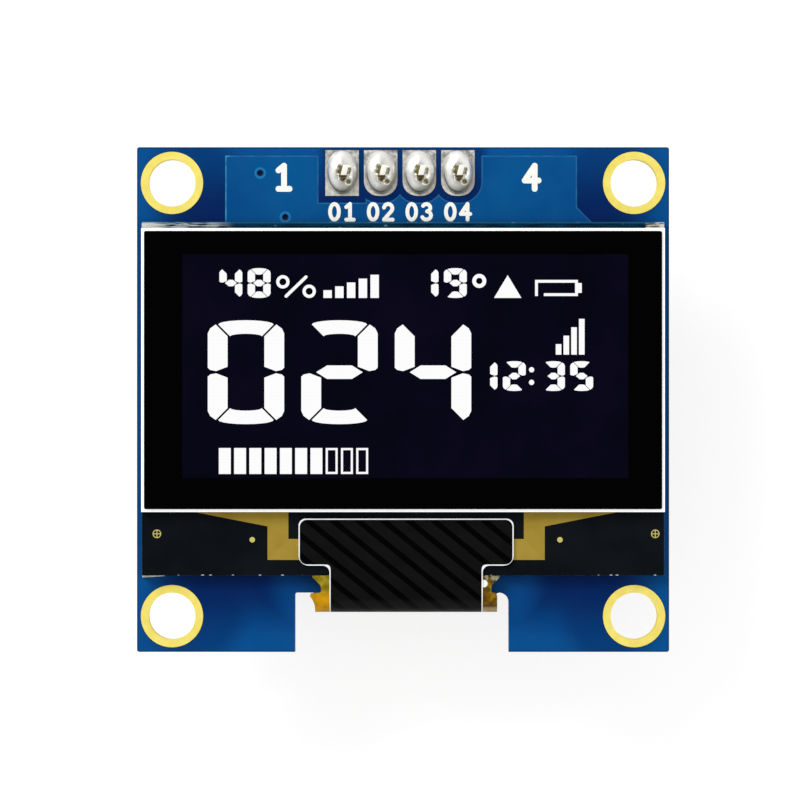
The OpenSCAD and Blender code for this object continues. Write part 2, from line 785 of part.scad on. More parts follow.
// The large number, from its left edge. Its row is at y = 0.
module large_reading() {
    digits = [floor(reading / 100) % 10, floor(reading / 10) % 10, reading % 10];
    upright = 5.65;
    level = 3.85;
    for (k = [0:2])
        translate([(figure_w / 2 + k * figure_pitch) / dot, 0])
            figure(digits[k], figure_w / dot, figure_h / dot, upright, level);
}

// The picture on the display. Each place is a number of dots from its left and upper edges.
module lit_segments() {
    top_row = 8.3;
    color("white")
        translate([picture_left, picture_top, lit_z])
            linear_extrude(lit_t)
                scale(dot) {
                    translate([10.3, -top_row]) charge_sign();
                    translate([66.2, -top_row]) warmth_sign();
                    translate([101, -12]) battery();
                    translate([7.75, -33.7]) large_reading();
                    translate([106.9, -28.7]) bars([3, 5.4, 7.8, 10.2], 1.6, 2.2);
                    translate([83, -34.8]) time_sign();
                    translate([10.9, -62.7]) level_bar();
                }
}

// ---- Ledge, driver chip and flexible circuit ----

// Gold band on the right half of the ledge, from the front glass down and in under the cover
module ledge_band() {
    top = front_glass_bottom;
    inner = band_outer - trace_w;
    step_top = cover_top - band_drop;
    step_bottom = step_top - trace_w;
    polygon([
        [band_outer + band_taper_w, top], [band_outer, top - band_taper_h], [band_outer, step_bottom],
        [flex_bond_head_w / 2, step_bottom], [flex_bond_head_w / 2, step_top],
        [inner, step_top], [inner, top]]);
}

// Alignment marks to the right of the band: a dot, and a ring with a cross in it
module ledge_marks() {
    across = 2 * mark_r - mark_line;
    translate([band_outer + dot_gap, front_glass_bottom - dot_drop]) circle(dot_r);
    translate([rear_glass_w / 2 - mark_gap, front_glass_bottom - mark_drop]) {
        ring(mark_r, mark_line);
        square([across, mark_line], center = true);
        square([mark_line, across], center = true);
    }
}

// The hidden middle of the trace layer carries the chip and the flexible circuit
module ledge_traces() {
    margin = 0.15;
    color("#a38b32")
        translate([flex_x, 0, ledge_z])
            linear_extrude(trace_t) {
                for (side = [0, 1])
                    mirror([side, 0]) {
                        ledge_band();
                        ledge_marks();
                    }
                translate([-chip_w / 2 - margin, cover_shoulder + margin])
                    square([chip_w + 2 * margin, cover_head_h - chip_drop]);
                translate([-flex_bond_w / 2, rear_glass_bottom + margin])
                    square([flex_bond_w, flex_top - rear_glass_bottom - margin]);
            }
}

module driver_chip() {
    color("#3b3d42")
        translate([flex_x - chip_w / 2, chip_top - chip_h, flex_z]) cube([chip_w, chip_h, chip_t]);
}

// Plan of the front stretch: the head and neck on the glass, the shoulders, the waist and the fold
module flex_front_plan() {
    shoulder_w = fold_w + 0.1;
    shoulder_y = rear_glass_bottom - 0.15;
    bond_y = cover_shoulder + 0.2;
    right = [
        [fold_w / 2, notch_top, 0],
        [waist_w / 2, notch_top + 0.1, 0.06],
        [waist_w / 2, notch_top + 0.3, 0.12],
        [shoulder_w / 2, shoulder_y, 0.1],
        [shoulder_w / 2, rear_glass_bottom, 0],
        [flex_bond_w / 2, rear_glass_bottom, 0],
        [flex_bond_w / 2, bond_y, 0],
        [flex_bond_head_w / 2, bond_y, 0],
        [flex_bond_head_w / 2, flex_top, 0]];
    polygon(rounded(both_sides(concat([[fold_w / 2, fold_bottom, 0]], right))));
}

// Plan of the back stretch, which widens from the fold to the soldered tail
module flex_back_plan() {
    right = [
        [fold_w / 2, fold_bottom, 0],
        [fold_w / 2, notch_top, 0.1],
        [tail_w / 2, tail_bottom, 0.3],
        [tail_w / 2, tail_top, 0.2]];
    polygon(rounded(both_sides(right)));
}

// Side view of half a ring round the fold's axis, for the front of the fold or for all of it
module fold_profile(r, t, all_round) {
    intersection() {
        difference() {
            circle(r + t, $fn = 96);
            circle(r, $fn = 96);
        }
        translate([-2 * r, all_round ? -2 * r : 0]) square([2 * r, 4 * r]);
    }
}

// Stands a side view up at the fold, and gives it a width
module from_side(width) {
    translate([-width / 2, fold_y, fold_r]) rotate([90, 0, 90]) linear_extrude(width) children();
}

module flex_circuit() {
    color("#b98a12")
        translate([flex_x, 0, 0])
            intersection() {
                from_side(tail_w + 2 * CUT) {
                    fold_profile(fold_r, flex_t, true);
                    translate([0, fold_r]) square([flex_top - fold_y, flex_t]);
                    translate([0, -fold_r - flex_t]) square([tail_top - fold_y, flex_t]);
                }
                union() {
                    translate([0, 0, fold_r / 2]) linear_extrude(cover_z) flex_front_plan();
                    translate([0, 0, -CUT]) linear_extrude(CUT + 1.5 * fold_r) flex_back_plan();
                }
            }
}

cover_path = [
    [-cover_head_w / 2, cover_top, cover_top_r],
    [-cover_head_w / 2, cover_shoulder, cover_head_r],
    [-cover_neck_w / 2, cover_shoulder, cover_neck_r],
    [-cover_neck_w / 2, fold_y, 0],
    [cover_neck_w / 2, fold_y, 0],
    [cover_neck_w / 2, cover_shoulder, cover_neck_r],
    [cover_head_w / 2, cover_shoulder, cover_head_r],
    [cover_head_w / 2, cover_top, cover_top_r]
];

// Diagonal grooves, clear of the cover's pale edge
module bands() {
    margin = 0.2;
    reach = cover_head_w;
    intersection() {
        translate([0, 0, cover_z - band_depth])
            linear_extrude(CUT)
                for (k = [-12:12])
                    translate([k * band_pitch / sin(band_angle), cover_top])
                        rotate(-band_angle)
                            square([2 * reach, band_w], center = true);
        translate([0, 0, cover_z - CUT])
            linear_extrude(2 * CUT) {
                translate([-cover_head_w / 2 + margin, cover_shoulder + margin])
                    square([cover_head_w - 2 * margin, cover_head_h - 2 * margin]);
                translate([-cover_neck_w / 2 + margin, fold_y])
                    square([cover_neck_w - 2 * margin, cover_shoulder - fold_y + 2 * margin]);
            }
    }
}

// On the glass the cover fills the level of the flexible circuit and the chip, all round them
module flex_cover() {
    over_flex = flex_z + flex_t;
    color("#121312")
        difference() {
            translate([flex_x, 0, 0])
                difference() {
                    union() {
                        translate([0, 0, over_flex]) linear_extrude(cover_t) polygon(rounded(cover_path));
                        translate([0, 0, flex_z])
                            linear_extrude(flex_t)
                                difference() {
                                    polygon(rounded(cover_path));
                                    flex_front_plan();
                                    translate([-board_w, rear_glass_bottom - board_h])
                                        square([2 * board_w, board_h]);
                                }
                        from_side(cover_neck_w) {
                            fold_profile(fold_r + flex_t, cover_t, false);
                            translate([0, fold_r + flex_t]) square([fold_gap, cover_t]);
                        }
                    }
                    bands();
                }
            driver_chip();
        }
}

// Left edge of finger k, of fingers spread over the tail between two margins
function finger_x(k) =
    flex_x + (k - (finger_count - 1) / 2) * (tail_w - 2 * TAIL_MARGIN) / finger_count - finger_w / 2;

// Solder over the fingers at the end of the tail and on their lands
module flex_solder() {
    over = finger_l - finger_overhang;
    color("#c9c9c7")
        for (k = [0:finger_count - 1])
            translate([finger_x(k), tail_top, 0]) {
                translate([0, -over, -flex_t - finger_h]) cube([finger_w, over, finger_h]);
                translate([0, 0, -flex_t - finger_h])
                    cube([finger_w, finger_overhang, flex_t + finger_h - copper_t]);
            }
}

// ---- Back of the board ----

// Moves what is drawn flat at the origin to a part's place on the back
module at_part(at) {
    translate(concat(place(at), [0])) rotate(at[2]) children();
}

// A body between two slightly larger metal ends, hanging below the lands
module chip_part(at, h, tint) {
    step = 0.03;
    body_w = chip_part_w - 2 * step;
    end_x = chip_part_l / 2 - cap_end_l;
    color(tint)
        at_part(at)
            translate([0, 0, -copper_t - h]) {
                translate([-end_x, -body_w / 2, step]) cube([2 * end_x, body_w, h - 2 * step]);
                for (side = [-1, 1])
                    translate([side * (end_x + cap_end_l / 2) - cap_end_l / 2, -chip_part_w / 2, 0])
                        cube([cap_end_l, chip_part_w, h]);
            }
}

module resistor(i) {
    chip_part(RESISTORS[i - 1], resistor_h, "#26282b");
}

module capacitor(i) {
    chip_part(CAPACITORS[i - 1], capacitor_h, "#b08a5e");
}

// A bent lead: a foot on its land, and a riser into the middle of the body's side
module lead(reach, width, body_h) {
    translate([-LEAD_T, -width / 2, -body_h / 2]) cube([2 * LEAD_T, width, LEAD_T]);
    translate([0, -width / 2, -body_h / 2]) cube([LEAD_T, width, body_h / 2]);
    translate([0, -width / 2, -LEAD_T]) cube([reach, width, LEAD_T]);
}

DIODE_REACH = 0.4;
REGULATOR_REACH = 0.55;
REGULATOR_LEADS = [[-0.95, -1], [0.95, -1], [0, 1]];

module diode() {
    b = DIODE_BODY;
    color("#232427")
        at_part(DIODE)
            translate([0, 0, -copper_t]) {
                translate([-b[0] / 2, -b[1] / 2, -b[2]]) cube(b - [0, 0, BODY_STANDOFF]);
                for (turn = [0, 180])
                    rotate(turn) translate([b[0] / 2, 0, 0]) lead(DIODE_REACH, DIODE_LEAD_W, b[2]);
            }
}

module regulator() {
    b = REGULATOR_BODY;
    color("#232427")
        at_part(REGULATOR)
            translate([0, 0, -copper_t]) {
                translate([-b[0] / 2, -b[1] / 2, -b[2]]) cube(b - [0, 0, BODY_STANDOFF]);
                for (l = REGULATOR_LEADS)
                    translate([l[0], l[1] * b[1] / 2, 0])
                        rotate(l[1] * 90) lead(REGULATOR_REACH, REGULATOR_LEAD_W, b[2]);
            }
}

// Wedge of solder against a metal end, on the board's back
module fillet(width) {
    translate([0, width / 2, 0])
        rotate([90, 0, 0])
            linear_extrude(width)
                polygon([[0, 0], [fillet_reach, 0], [fillet_reach * 0.35, -fillet_h * 0.35], [0, -fillet_h]]);
}

module parts_solder() {
    color("#c9c9c7")
        translate([0, 0, -copper_t]) {
            for (at = concat(RESISTORS, CAPACITORS))
                at_part(at)
                    for (turn = [0, 180])
                        rotate(turn) translate([chip_part_l / 2, 0, 0]) fillet(chip_part_w);
            at_part(DIODE)
                for (turn = [0, 180])
                    rotate(turn)
                        translate([DIODE_BODY[0] / 2 + DIODE_REACH, 0, 0])
                            lead_fillet(DIODE_LEAD_W + LEAD_SOLDER);
            at_part(REGULATOR)
                for (l = REGULATOR_LEADS)
                    translate([l[0], l[1] * (REGULATOR_BODY[1] / 2 + REGULATOR_REACH), 0])
                        rotate(l[1] * 90) lead_fillet(REGULATOR_LEAD_W + LEAD_SOLDER);
        }
}

// Low wedge of solder at the tip of a lead
module lead_fillet(width) {
    translate([0, width / 2, 0])
        rotate([90, 0, 0])
            linear_extrude(width) polygon([[0, 0], [LEAD_T, 0], [0, -LEAD_T]]);
}

// Land under one end of a part: from inside the part to past its end
module land(inner, outer, width) {
    translate([inner, -width / 2]) square([outer - inner, width]);
}

// Ends of a header pad and of a finger's land, as distances from the board's left and upper edges
function pad_end(i) = [pin_x(i) + board_w / 2, board_h / 2 - pad_bottom_y];
function finger_end(k) = [finger_x(k) + finger_w / 2 + board_w / 2, board_h / 2 - tail_top - finger_overhang];
// Routes on the back, as distances from the board's left and upper edges
ROUTES = [
    [pad_end(2), [16.03, 9.6], [14, 11.6], [14, 15.6]],
    [pad_end(3), [18.57, 9.2], [22, 12.6], [22, 16.4]],
    [[27.8, 14.2], [27.8, 18.6], [27.2, 19.2]],
    [[12, 8.4], [12, 10.6], [7.2, 12.6]],
    [finger_end(2), [10.2, 19.4]],
    [finger_end(9), [14.2, 22.8], [14.2, 19.4]],
    [finger_end(15), [18.2, 22.8], [18.2, 19.4]],
    [finger_end(22), [22.2, 19.4]],
    [finger_end(27), [24.9, 22.8], [24.9, 19.2]]
];

// Two lands of a part with its ends at x = -reach and reach
module land_pair(reach, inner, width) {
    for (turn = [0, 180])
        rotate(turn) land(inner, reach, width);
}

// Lands, routes, via rings and finger lands on the back, clear of the pads, the vias and the soldered tail
module back_copper() {
    body = REGULATOR_BODY[1] / 2;
    difference() {
        union() {
            for (at = concat(RESISTORS, CAPACITORS))
                at_part(at)
                    land_pair(chip_part_l / 2 + LAND_REACH, chip_part_l / 2 - cap_end_l, chip_part_w);
            at_part(DIODE)
                land_pair(DIODE_BODY[0] / 2 + DIODE_REACH + LEAD_LAND, DIODE_BODY[0] / 2,
                          DIODE_LEAD_W + LEAD_LAND_W);
            at_part(REGULATOR)
                for (l = REGULATOR_LEADS)
                    translate([l[0], 0])
                        rotate(l[1] * 90)
                            land(body, body + REGULATOR_REACH + LEAD_LAND, REGULATOR_LEAD_W + LEAD_LAND_W);
            for (r = ROUTES)
                route([for (q = r) place(q)], back_trace_w);
            for (v = VIAS)
                translate(place(v)) circle(VIA_R + VIA_RING);
            finger_lands();
        }
        for (i = [1:PIN_COUNT])
            translate([pin_x(i), pin_y]) pad_shape(i);
        vias();
        translate([flex_x, 0]) flex_back_plan();
    }
}

module copper_back() {
    color("#0a5a9c")
        translate([0, 0, -copper_t]) linear_extrude(copper_t) back_copper();
}

module finger_lands() {
    for (k = [0:finger_count - 1])
        translate([finger_x(k), tail_top]) square([finger_w, finger_overhang + FINGER_LAND]);
}

// White frames round the parts on the back, broken at the routes, and the numbers of two pins
module silkscreen_back() {
    line = 0.15;
    space = 0.25;
    number_gap = 2.6;
    number_h = 1.5;
    number_stroke = 0.22;
    color("white")
        translate([0, 0, -ink_t])
            linear_extrude(ink_t) {
                difference() {
                    for (at = concat(RESISTORS, CAPACITORS))
                        at_part(at) part_frame(chip_part_l + 2 * LAND_REACH, chip_part_w, space, line);
                    back_copper();
                }
                for (side = [-1, 1])
                    translate([pin_x(side < 0 ? 1 : PIN_COUNT) + side * number_gap, pin_y])
                        mirror([1, 0]) numeral(side < 0 ? 1 : 4, number_h, number_stroke);
            }
}

module part_frame(l, w, space, line) {
    reach = space + line;
    translate([-l / 2 - reach, -w / 2 - reach]) frame(l + 2 * reach, w + 2 * reach, line);
}

circuit_board();
copper_front();
copper_back();
silkscreen_front();
silkscreen_back();
for (i = [1:4])
    mounting_ring(i);
for (i = [1:PIN_COUNT]) {
    header_pad(i);
    header_solder(i);
    header_pin(i);
}
header_spacer();
mounting_tape();
rear_glass();
panel_seal();
emitter_layer();
front_glass();
polarizer();
lit_segments();
ledge_traces();
driver_chip();
flex_circuit();
flex_cover();
flex_solder();
parts_solder();
for (i = [1:RESISTOR_COUNT])
    resistor(i);
for (i = [1:CAPACITOR_COUNT])
    capacitor(i);
diode();
regulator();
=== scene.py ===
# %% [markdown]
# # A small display module
# The real object is a blue circuit board that carries a glass display panel and a four-pin header.
# The solid model is the fixed frame: its nodes give every place and size, in metres. This script
# adds the looks. Where a solid already has the right shape, it only gets a better material. Where
# the real piece has rounded edges, lumps or folds, a new piece is modelled over it and replaces it.

# %% Load the frame
import bmesh
import bpy
import math
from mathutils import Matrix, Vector


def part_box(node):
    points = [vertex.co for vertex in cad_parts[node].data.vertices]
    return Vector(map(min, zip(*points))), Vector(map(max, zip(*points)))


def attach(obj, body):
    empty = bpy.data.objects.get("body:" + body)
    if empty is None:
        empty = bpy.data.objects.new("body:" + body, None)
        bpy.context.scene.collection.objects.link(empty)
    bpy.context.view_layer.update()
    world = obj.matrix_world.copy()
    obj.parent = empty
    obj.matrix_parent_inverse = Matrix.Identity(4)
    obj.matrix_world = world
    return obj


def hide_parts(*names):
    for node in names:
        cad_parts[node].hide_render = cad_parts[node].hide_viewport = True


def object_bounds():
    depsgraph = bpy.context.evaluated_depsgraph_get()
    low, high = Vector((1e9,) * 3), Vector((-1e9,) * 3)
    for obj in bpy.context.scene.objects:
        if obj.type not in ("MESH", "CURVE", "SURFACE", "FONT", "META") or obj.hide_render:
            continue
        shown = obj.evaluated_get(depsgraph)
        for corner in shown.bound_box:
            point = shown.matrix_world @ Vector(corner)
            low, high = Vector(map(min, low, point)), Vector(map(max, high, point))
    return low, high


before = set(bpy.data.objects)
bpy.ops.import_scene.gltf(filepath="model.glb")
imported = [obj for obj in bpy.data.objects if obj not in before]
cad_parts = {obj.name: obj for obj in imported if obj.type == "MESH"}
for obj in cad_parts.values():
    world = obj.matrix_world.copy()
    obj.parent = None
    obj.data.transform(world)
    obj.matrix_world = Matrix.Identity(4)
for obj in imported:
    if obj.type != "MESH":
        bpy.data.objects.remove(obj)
cad_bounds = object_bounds()
MM = 0.001
print("nodes in the frame:", len(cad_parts))

# %% [markdown]
# ## Places to build on
# All places come from the boxes of the solid pieces, so the looks follow the solids when a size
# changes. The board, the two glasses and the header give nearly everything that is needed.


# %% Measure the pieces that the others lie on
def middle_of(node):
    """The middle of a node's box."""
    low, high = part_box(node)
    return (low + high) / 2


board_low, board_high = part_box("circuit_board")
rear_low, rear_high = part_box("rear_glass")
front_low, front_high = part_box("front_glass")
film_low, film_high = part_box("polarizer")
cover_low, cover_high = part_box("flex_cover")
flex_low, flex_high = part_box("flex_circuit")
pad_low, pad_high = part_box("header_pad_1")
holes = [middle_of(f"mounting_ring_{i}") for i in (1, 2, 3, 4)]
pins = [middle_of(f"header_pin_{i}") for i in (1, 2, 3, 4)]
pin_pitch = pins[1].x - pins[0].x
print("board, mm:", [round(size / MM, 2) for size in board_high - board_low])

# %% [markdown]
# ## Camera and light
# The camera looks straight down on the display. The light is a plain soft studio: a large lamp from
# the upper left, a weaker one from the right, and an even sky. Straight above the object, the sky is
# dark for reflections only, as the camera and its hood would be, so glossy black stays black.


# %% Camera
VIEW_WIDTH = 52.63 * MM
LENS, SENSOR = 200, 36
camera = bpy.data.objects.new("camera", bpy.data.cameras.new("camera"))
bpy.context.scene.collection.objects.link(camera)
camera.data.lens = LENS
camera.data.sensor_width = SENSOR
camera.data.clip_start = 0.01
camera.location = (-0.2 * MM, -0.03 * MM, board_high.z + VIEW_WIDTH * LENS / SENSOR)
bpy.context.scene.camera = camera
bpy.context.scene.view_settings.view_transform = "Standard"
print("camera height, mm:", round(camera.location.z / MM, 1))


# %% Lamps
def lamp(name, place, size, power):
    """A square soft lamp that faces the object."""
    light = bpy.data.lights.new(name, "AREA")
    light.size = size
    light.energy = power
    holder = bpy.data.objects.new(name, light)
    bpy.context.scene.collection.objects.link(holder)
    holder.location = place
    holder.rotation_euler = (-Vector(place)).to_track_quat("-Z", "Y").to_euler()


lamp("key_lamp", (-0.26, 0.30, 0.30), 0.20, 1.5)
lamp("fill_lamp", (0.40, -0.10, 0.26), 0.22, 0.45)
print("two lamps")


# %% [markdown]
# ## Small helpers for node trees
# A material is a tree of nodes. These helpers add a node with its values and wires in one line.
# A colour is written as it is seen, from 0 to 255, and turned into the linear value of a shader.


# %% Node helpers
def add(tree, kind, inputs=None, **settings):
    """A new node. An input is a plain value or the output of another node."""
    item = tree.nodes.new(kind)
    for name, value in settings.items():
        setattr(item, name, value)
    for socket, value in (inputs or {}).items():
        if isinstance(value, bpy.types.NodeSocket):
            tree.links.new(value, item.inputs[socket])
        else:
            item.inputs[socket].default_value = value
    return item


def calc(tree, operation, a, b=0.0, c=0.0):
    return add(tree, "ShaderNodeMath", {0: a, 1: b, 2: c}, operation=operation).outputs[0]


def shift(tree, operation, a, b):
    return add(tree, "ShaderNodeVectorMath", {0: a, 1: b}, operation=operation).outputs[0]


def mix(tree, mask, off, on):
    """Colour `off` where the mask is 0 and colour `on` where it is 1."""
    return add(tree, "ShaderNodeMix", {0: mask, 6: off, 7: on}, data_type="RGBA").outputs[2]


def span(tree, value, start, end, low=0.0, high=1.0):
    """Goes smoothly from low to high while the value goes from start to end."""
    return add(tree, "ShaderNodeMapRange", {0: value, 1: start, 2: end, 3: low, 4: high},
               interpolation_type="SMOOTHSTEP").outputs[0]


def axes(tree, vector):
    return add(tree, "ShaderNodeSeparateXYZ", {0: vector}).outputs


def tone(*seen):
    """The linear colour of a colour given as it is seen, from 0 to 255."""
    return tuple(((c / 255 + 0.055) / 1.055) ** 2.4 for c in seen) + (1.0,)


print("helpers for node trees are ready")


# %% World and floor
def make_sky():
    """White for the camera, softer as a light, and dark right above for reflections."""
    world = bpy.data.worlds.new("studio")
    bpy.context.scene.world = world
    world.use_nodes = True
    tree = world.node_tree
    tree.nodes.clear()
    ray = add(tree, "ShaderNodeLightPath").outputs
    height = axes(tree, add(tree, "ShaderNodeTexCoord").outputs["Generated"])["Z"]
    hood = span(tree, height, 0.55, 0.93, 1.0, 0.015)
    mirror = calc(tree, "MAXIMUM", ray["Is Glossy Ray"], ray["Is Transmission Ray"])
    seen = calc(tree, "MULTIPLY", mirror, hood)
    strength = calc(tree, "MAXIMUM", ray["Is Camera Ray"], seen)
    soft = calc(tree, "MULTIPLY", ray["Is Diffuse Ray"], 0.6)
    light = add(tree, "ShaderNodeBackground", {0: (1, 1, 1, 1), 1: calc(tree, "ADD", strength, soft)})
    add(tree, "ShaderNodeOutputWorld", {0: light.outputs[0]})


def make_floor():
    """A pale floor just under the pins. The camera sees it nearly white, with a light shadow."""
    bpy.ops.object.select_all(action="DESELECT")
    bpy.ops.mesh.primitive_plane_add(size=6, location=(0, 0, cad_bounds[0][2] - 0.05 * MM))
    floor = bpy.context.object
    floor.name = "floor"
    paper = bpy.data.materials.new("pale paper")
    paper.use_nodes = True
    tree = paper.node_tree
    tree.nodes.clear()
    ray = add(tree, "ShaderNodeLightPath").outputs
    matt = add(tree, "ShaderNodeBsdfDiffuse", {0: mix(tree, ray["Is Camera Ray"], tone(232, 232, 232), tone(170, 170, 170))})
    glow = add(tree, "ShaderNodeEmission", {0: (1, 1, 1, 1), 1: calc(tree, "MULTIPLY", ray["Is Camera Ray"], 0.72)})
    both = add(tree, "ShaderNodeAddShader", {0: matt.outputs[0], 1: glow.outputs[0]})
    add(tree, "ShaderNodeOutputMaterial", {0: both.outputs[0]})
    floor.data.materials.append(paper)


make_sky()
make_floor()
print("sky and floor are in place")

# %% [markdown]
# ## Effects that several materials share
# Each effect is one node group with named inputs. `patches` makes soft irregular areas, `reach` tells
# how deep a point lies inside a box, `ring` how far it lies from a centre seen from above, `specks`
# scatters small dots, and `stripes` draws parallel lines. Lengths are in metres.


# %% Shared effects
def effect(name, inputs, output, build):
    """A node group with named inputs (kind and first value) and one named output."""
    tree = bpy.data.node_groups.new(name, "ShaderNodeTree")
    for label, (kind, value) in inputs.items():
        socket = tree.interface.new_socket(name=label, in_out="INPUT", socket_type="NodeSocket" + kind)
        socket.default_value = value
    tree.interface.new_socket(name=output, in_out="OUTPUT", socket_type="NodeSocketFloat")
    result = build(tree, add(tree, "NodeGroupInput").outputs)
    add(tree, "NodeGroupOutput", {0: result})
    return tree


def use(tree, group, **inputs):
    """Places a shared effect in a material with its own values."""
    return add(tree, "ShaderNodeGroup", inputs, node_tree=group).outputs[0]


POINT = ("Vector", (0, 0, 0))


def build_patches(tree, given):
    scale = calc(tree, "DIVIDE", 1.0, given["Size"])
    noise = add(tree, "ShaderNodeTexNoise", {"Vector": given["Vector"], "Scale": scale, "Detail": 4.0})
    return span(tree, noise.outputs[0], given["Low"], given["High"])


def build_reach(tree, given):
    away = add(tree, "ShaderNodeVectorMath", {0: shift(tree, "SUBTRACT", given["Vector"], given["Centre"])},
               operation="ABSOLUTE").outputs[0]
    left = axes(tree, shift(tree, "SUBTRACT", given["Half"], away))
    return calc(tree, "MINIMUM", left[0], calc(tree, "MINIMUM", left[1], left[2]))


def build_ring(tree, given):
    away = shift(tree, "MULTIPLY", shift(tree, "SUBTRACT", given["Vector"], given["Centre"]), (1, 1, 0))
    return add(tree, "ShaderNodeVectorMath", {0: away}, operation="LENGTH").outputs["Value"]


def build_specks(tree, given):
    scale = calc(tree, "DIVIDE", 1.0, given["Size"])
    cells = add(tree, "ShaderNodeTexVoronoi", {"Vector": given["Vector"], "Scale": scale})
    chosen = calc(tree, "LESS_THAN", axes(tree, cells.outputs["Color"])[0], given["Share"])
    return calc(tree, "MULTIPLY", span(tree, cells.outputs["Distance"], 0.3, 0.15), chosen)


def build_stripes(tree, given):
    along = add(tree, "ShaderNodeVectorMath", {0: given["Vector"], 1: given["Across"]}, operation="DOT_PRODUCT")
    place = calc(tree, "DIVIDE", calc(tree, "ADD", along.outputs["Value"], given["Shift"]), given["Pitch"])
    off = calc(tree, "ABSOLUTE", calc(tree, "SUBTRACT", place, calc(tree, "ROUND", place)))
    half = calc(tree, "DIVIDE", given["Width"], calc(tree, "MULTIPLY", given["Pitch"], 2.0))
    return span(tree, off, calc(tree, "MULTIPLY", half, 1.12), calc(tree, "MULTIPLY", half, 0.88))


patches = effect("patches", {"Vector": POINT, "Size": ("Float", MM), "Low": ("Float", 0.3), "High": ("Float", 0.7)},
                 "Mask", build_patches)
reach = effect("reach", {"Vector": POINT, "Centre": POINT, "Half": POINT}, "Depth", build_reach)
ring = effect("ring", {"Vector": POINT, "Centre": POINT}, "Distance", build_ring)
specks = effect("specks", {"Vector": POINT, "Size": ("Float", MM), "Share": ("Float", 0.3)}, "Mask", build_specks)
stripes = effect("stripes", {"Vector": POINT, "Across": POINT, "Pitch": ("Float", MM), "Width": ("Float", 0.1 * MM),
                             "Shift": ("Float", 0.0)}, "Mask", build_stripes)
print("shared effects:", len(bpy.data.node_groups))


# %% Helpers for materials
def finish(name):
    """A new material, its empty tree, and the place on the piece that its patterns read."""
    made = bpy.data.materials.new(name)
    made.use_nodes = True
    made.node_tree.nodes.clear()
    return made, made.node_tree, add(made.node_tree, "ShaderNodeTexCoord").outputs["Object"]


def surface(tree, height=None, bump=0.3, depth=0.01 * MM, **inputs):
    """Ends a material with one Principled shader. A height makes its bumps."""
    values = {name.replace("_", " "): value for name, value in inputs.items()}
    if height is not None:
        bumps = add(tree, "ShaderNodeBump", {"Height": height, "Strength": bump, "Distance": depth})
        values["Normal"] = bumps.outputs[0]
    shader = add(tree, "ShaderNodeBsdfPrincipled", values)
    add(tree, "ShaderNodeOutputMaterial", {0: shader.outputs[0]})


def rough(tree, where, size, low, high):
    """A roughness that changes softly over the surface."""
    return calc(tree, "MULTIPLY_ADD", use(tree, patches, Vector=where, Size=size), high - low, low)


def dress_nodes(material, *names):
    """Gives CAD nodes whose shape is right their material."""
    for name in names:
        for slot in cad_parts[name].material_slots:
            slot.material = material
    print(f"{material.name}: {len(names)} nodes")


def numbered(name, count):
    return [f"{name}_{i}" for i in range(1, count + 1)]


# %% [markdown]
# ## The circuit board
# The real board is glass-fibre laminate under a glossy blue mask. The mask looks dark where the
# laminate lies bare below it and pales towards the sawn outer edges, where light gets in. The
# laminate shows on the edges as pale layers. The board's solid has the right shape, so it keeps it.


# %% Blue mask and laminate
def make_board():
    material, tree, where = finish("blue mask on laminate")
    middle = (board_low + board_high) / 2
    half = (board_high - board_low) / 2
    side = use(tree, reach, Vector=where, Centre=middle, Half=(half.x, half.y, 1))
    notch_middle = (middle_of("flex_circuit").x, board_low.y, 0)
    notch_half = ((flex_high.x - flex_low.x) / 2 - 2.4 * MM, 3.9 * MM, 1)
    notch = calc(tree, "MULTIPLY", use(tree, reach, Vector=where, Centre=notch_middle, Half=notch_half), -1.0)
    edge_light = span(tree, side, 4.2 * MM, 0.2 * MM)
    notch_light = span(tree, notch, 2.6 * MM, 0.2 * MM, 0.0, 0.65)
    light = calc(tree, "MAXIMUM", edge_light, notch_light)
    light = calc(tree, "MULTIPLY", light, calc(tree, "MULTIPLY_ADD", use(tree, patches, Vector=where, Size=5 * MM), 0.16, 0.78))
    for hole in holes:
        inner = Vector((hole.x * 0.9, hole.y, 0))
        shade = span(tree, use(tree, ring, Vector=where, Centre=inner), 2.2 * MM, 4.0 * MM, 0.45, 1.0)
        light = calc(tree, "MULTIPLY", light, shade)
    pads = use(tree, reach, Vector=where, Centre=(0.0, (pad_low.y + pad_high.y) / 2, 0), Half=(5.6 * MM, 2 * MM, 1))
    light = calc(tree, "MULTIPLY", light, span(tree, pads, -0.3 * MM, 0.6 * MM, 1.0, 0.3))
    blue = mix(tree, light, tone(0, 36, 92), tone(0, 82, 148))
    blue = mix(tree, span(tree, side, 0.12 * MM, 0.02 * MM), blue, tone(0, 44, 90))
    layers = use(tree, stripes, Vector=where, Across=(0, 0, 1), Pitch=0.2 * MM, Width=0.05 * MM)
    fibre = use(tree, patches, Vector=shift(tree, "MULTIPLY", where, (1, 1, 6)), Size=0.25 * MM)
    laminate = mix(tree, fibre, tone(150, 150, 104), tone(196, 190, 140))
    laminate = mix(tree, calc(tree, "MULTIPLY", layers, 0.6), laminate, tone(112, 116, 84))
    skin = 0.03 * MM
    core = use(tree, reach, Vector=where, Centre=middle, Half=(1, 1, half.z))
    colour = mix(tree, span(tree, core, skin, 1.4 * skin), blue, laminate)
    weave = use(tree, patches, Vector=where, Size=0.5 * MM)
    surface(tree, weave, 0.15, 0.003 * MM, Base_Color=colour, Roughness=rough(tree, where, 1.5 * MM, 0.2, 0.28),
            Specular_IOR_Level=0.12)
    dress_nodes(material, "circuit_board")


make_board()
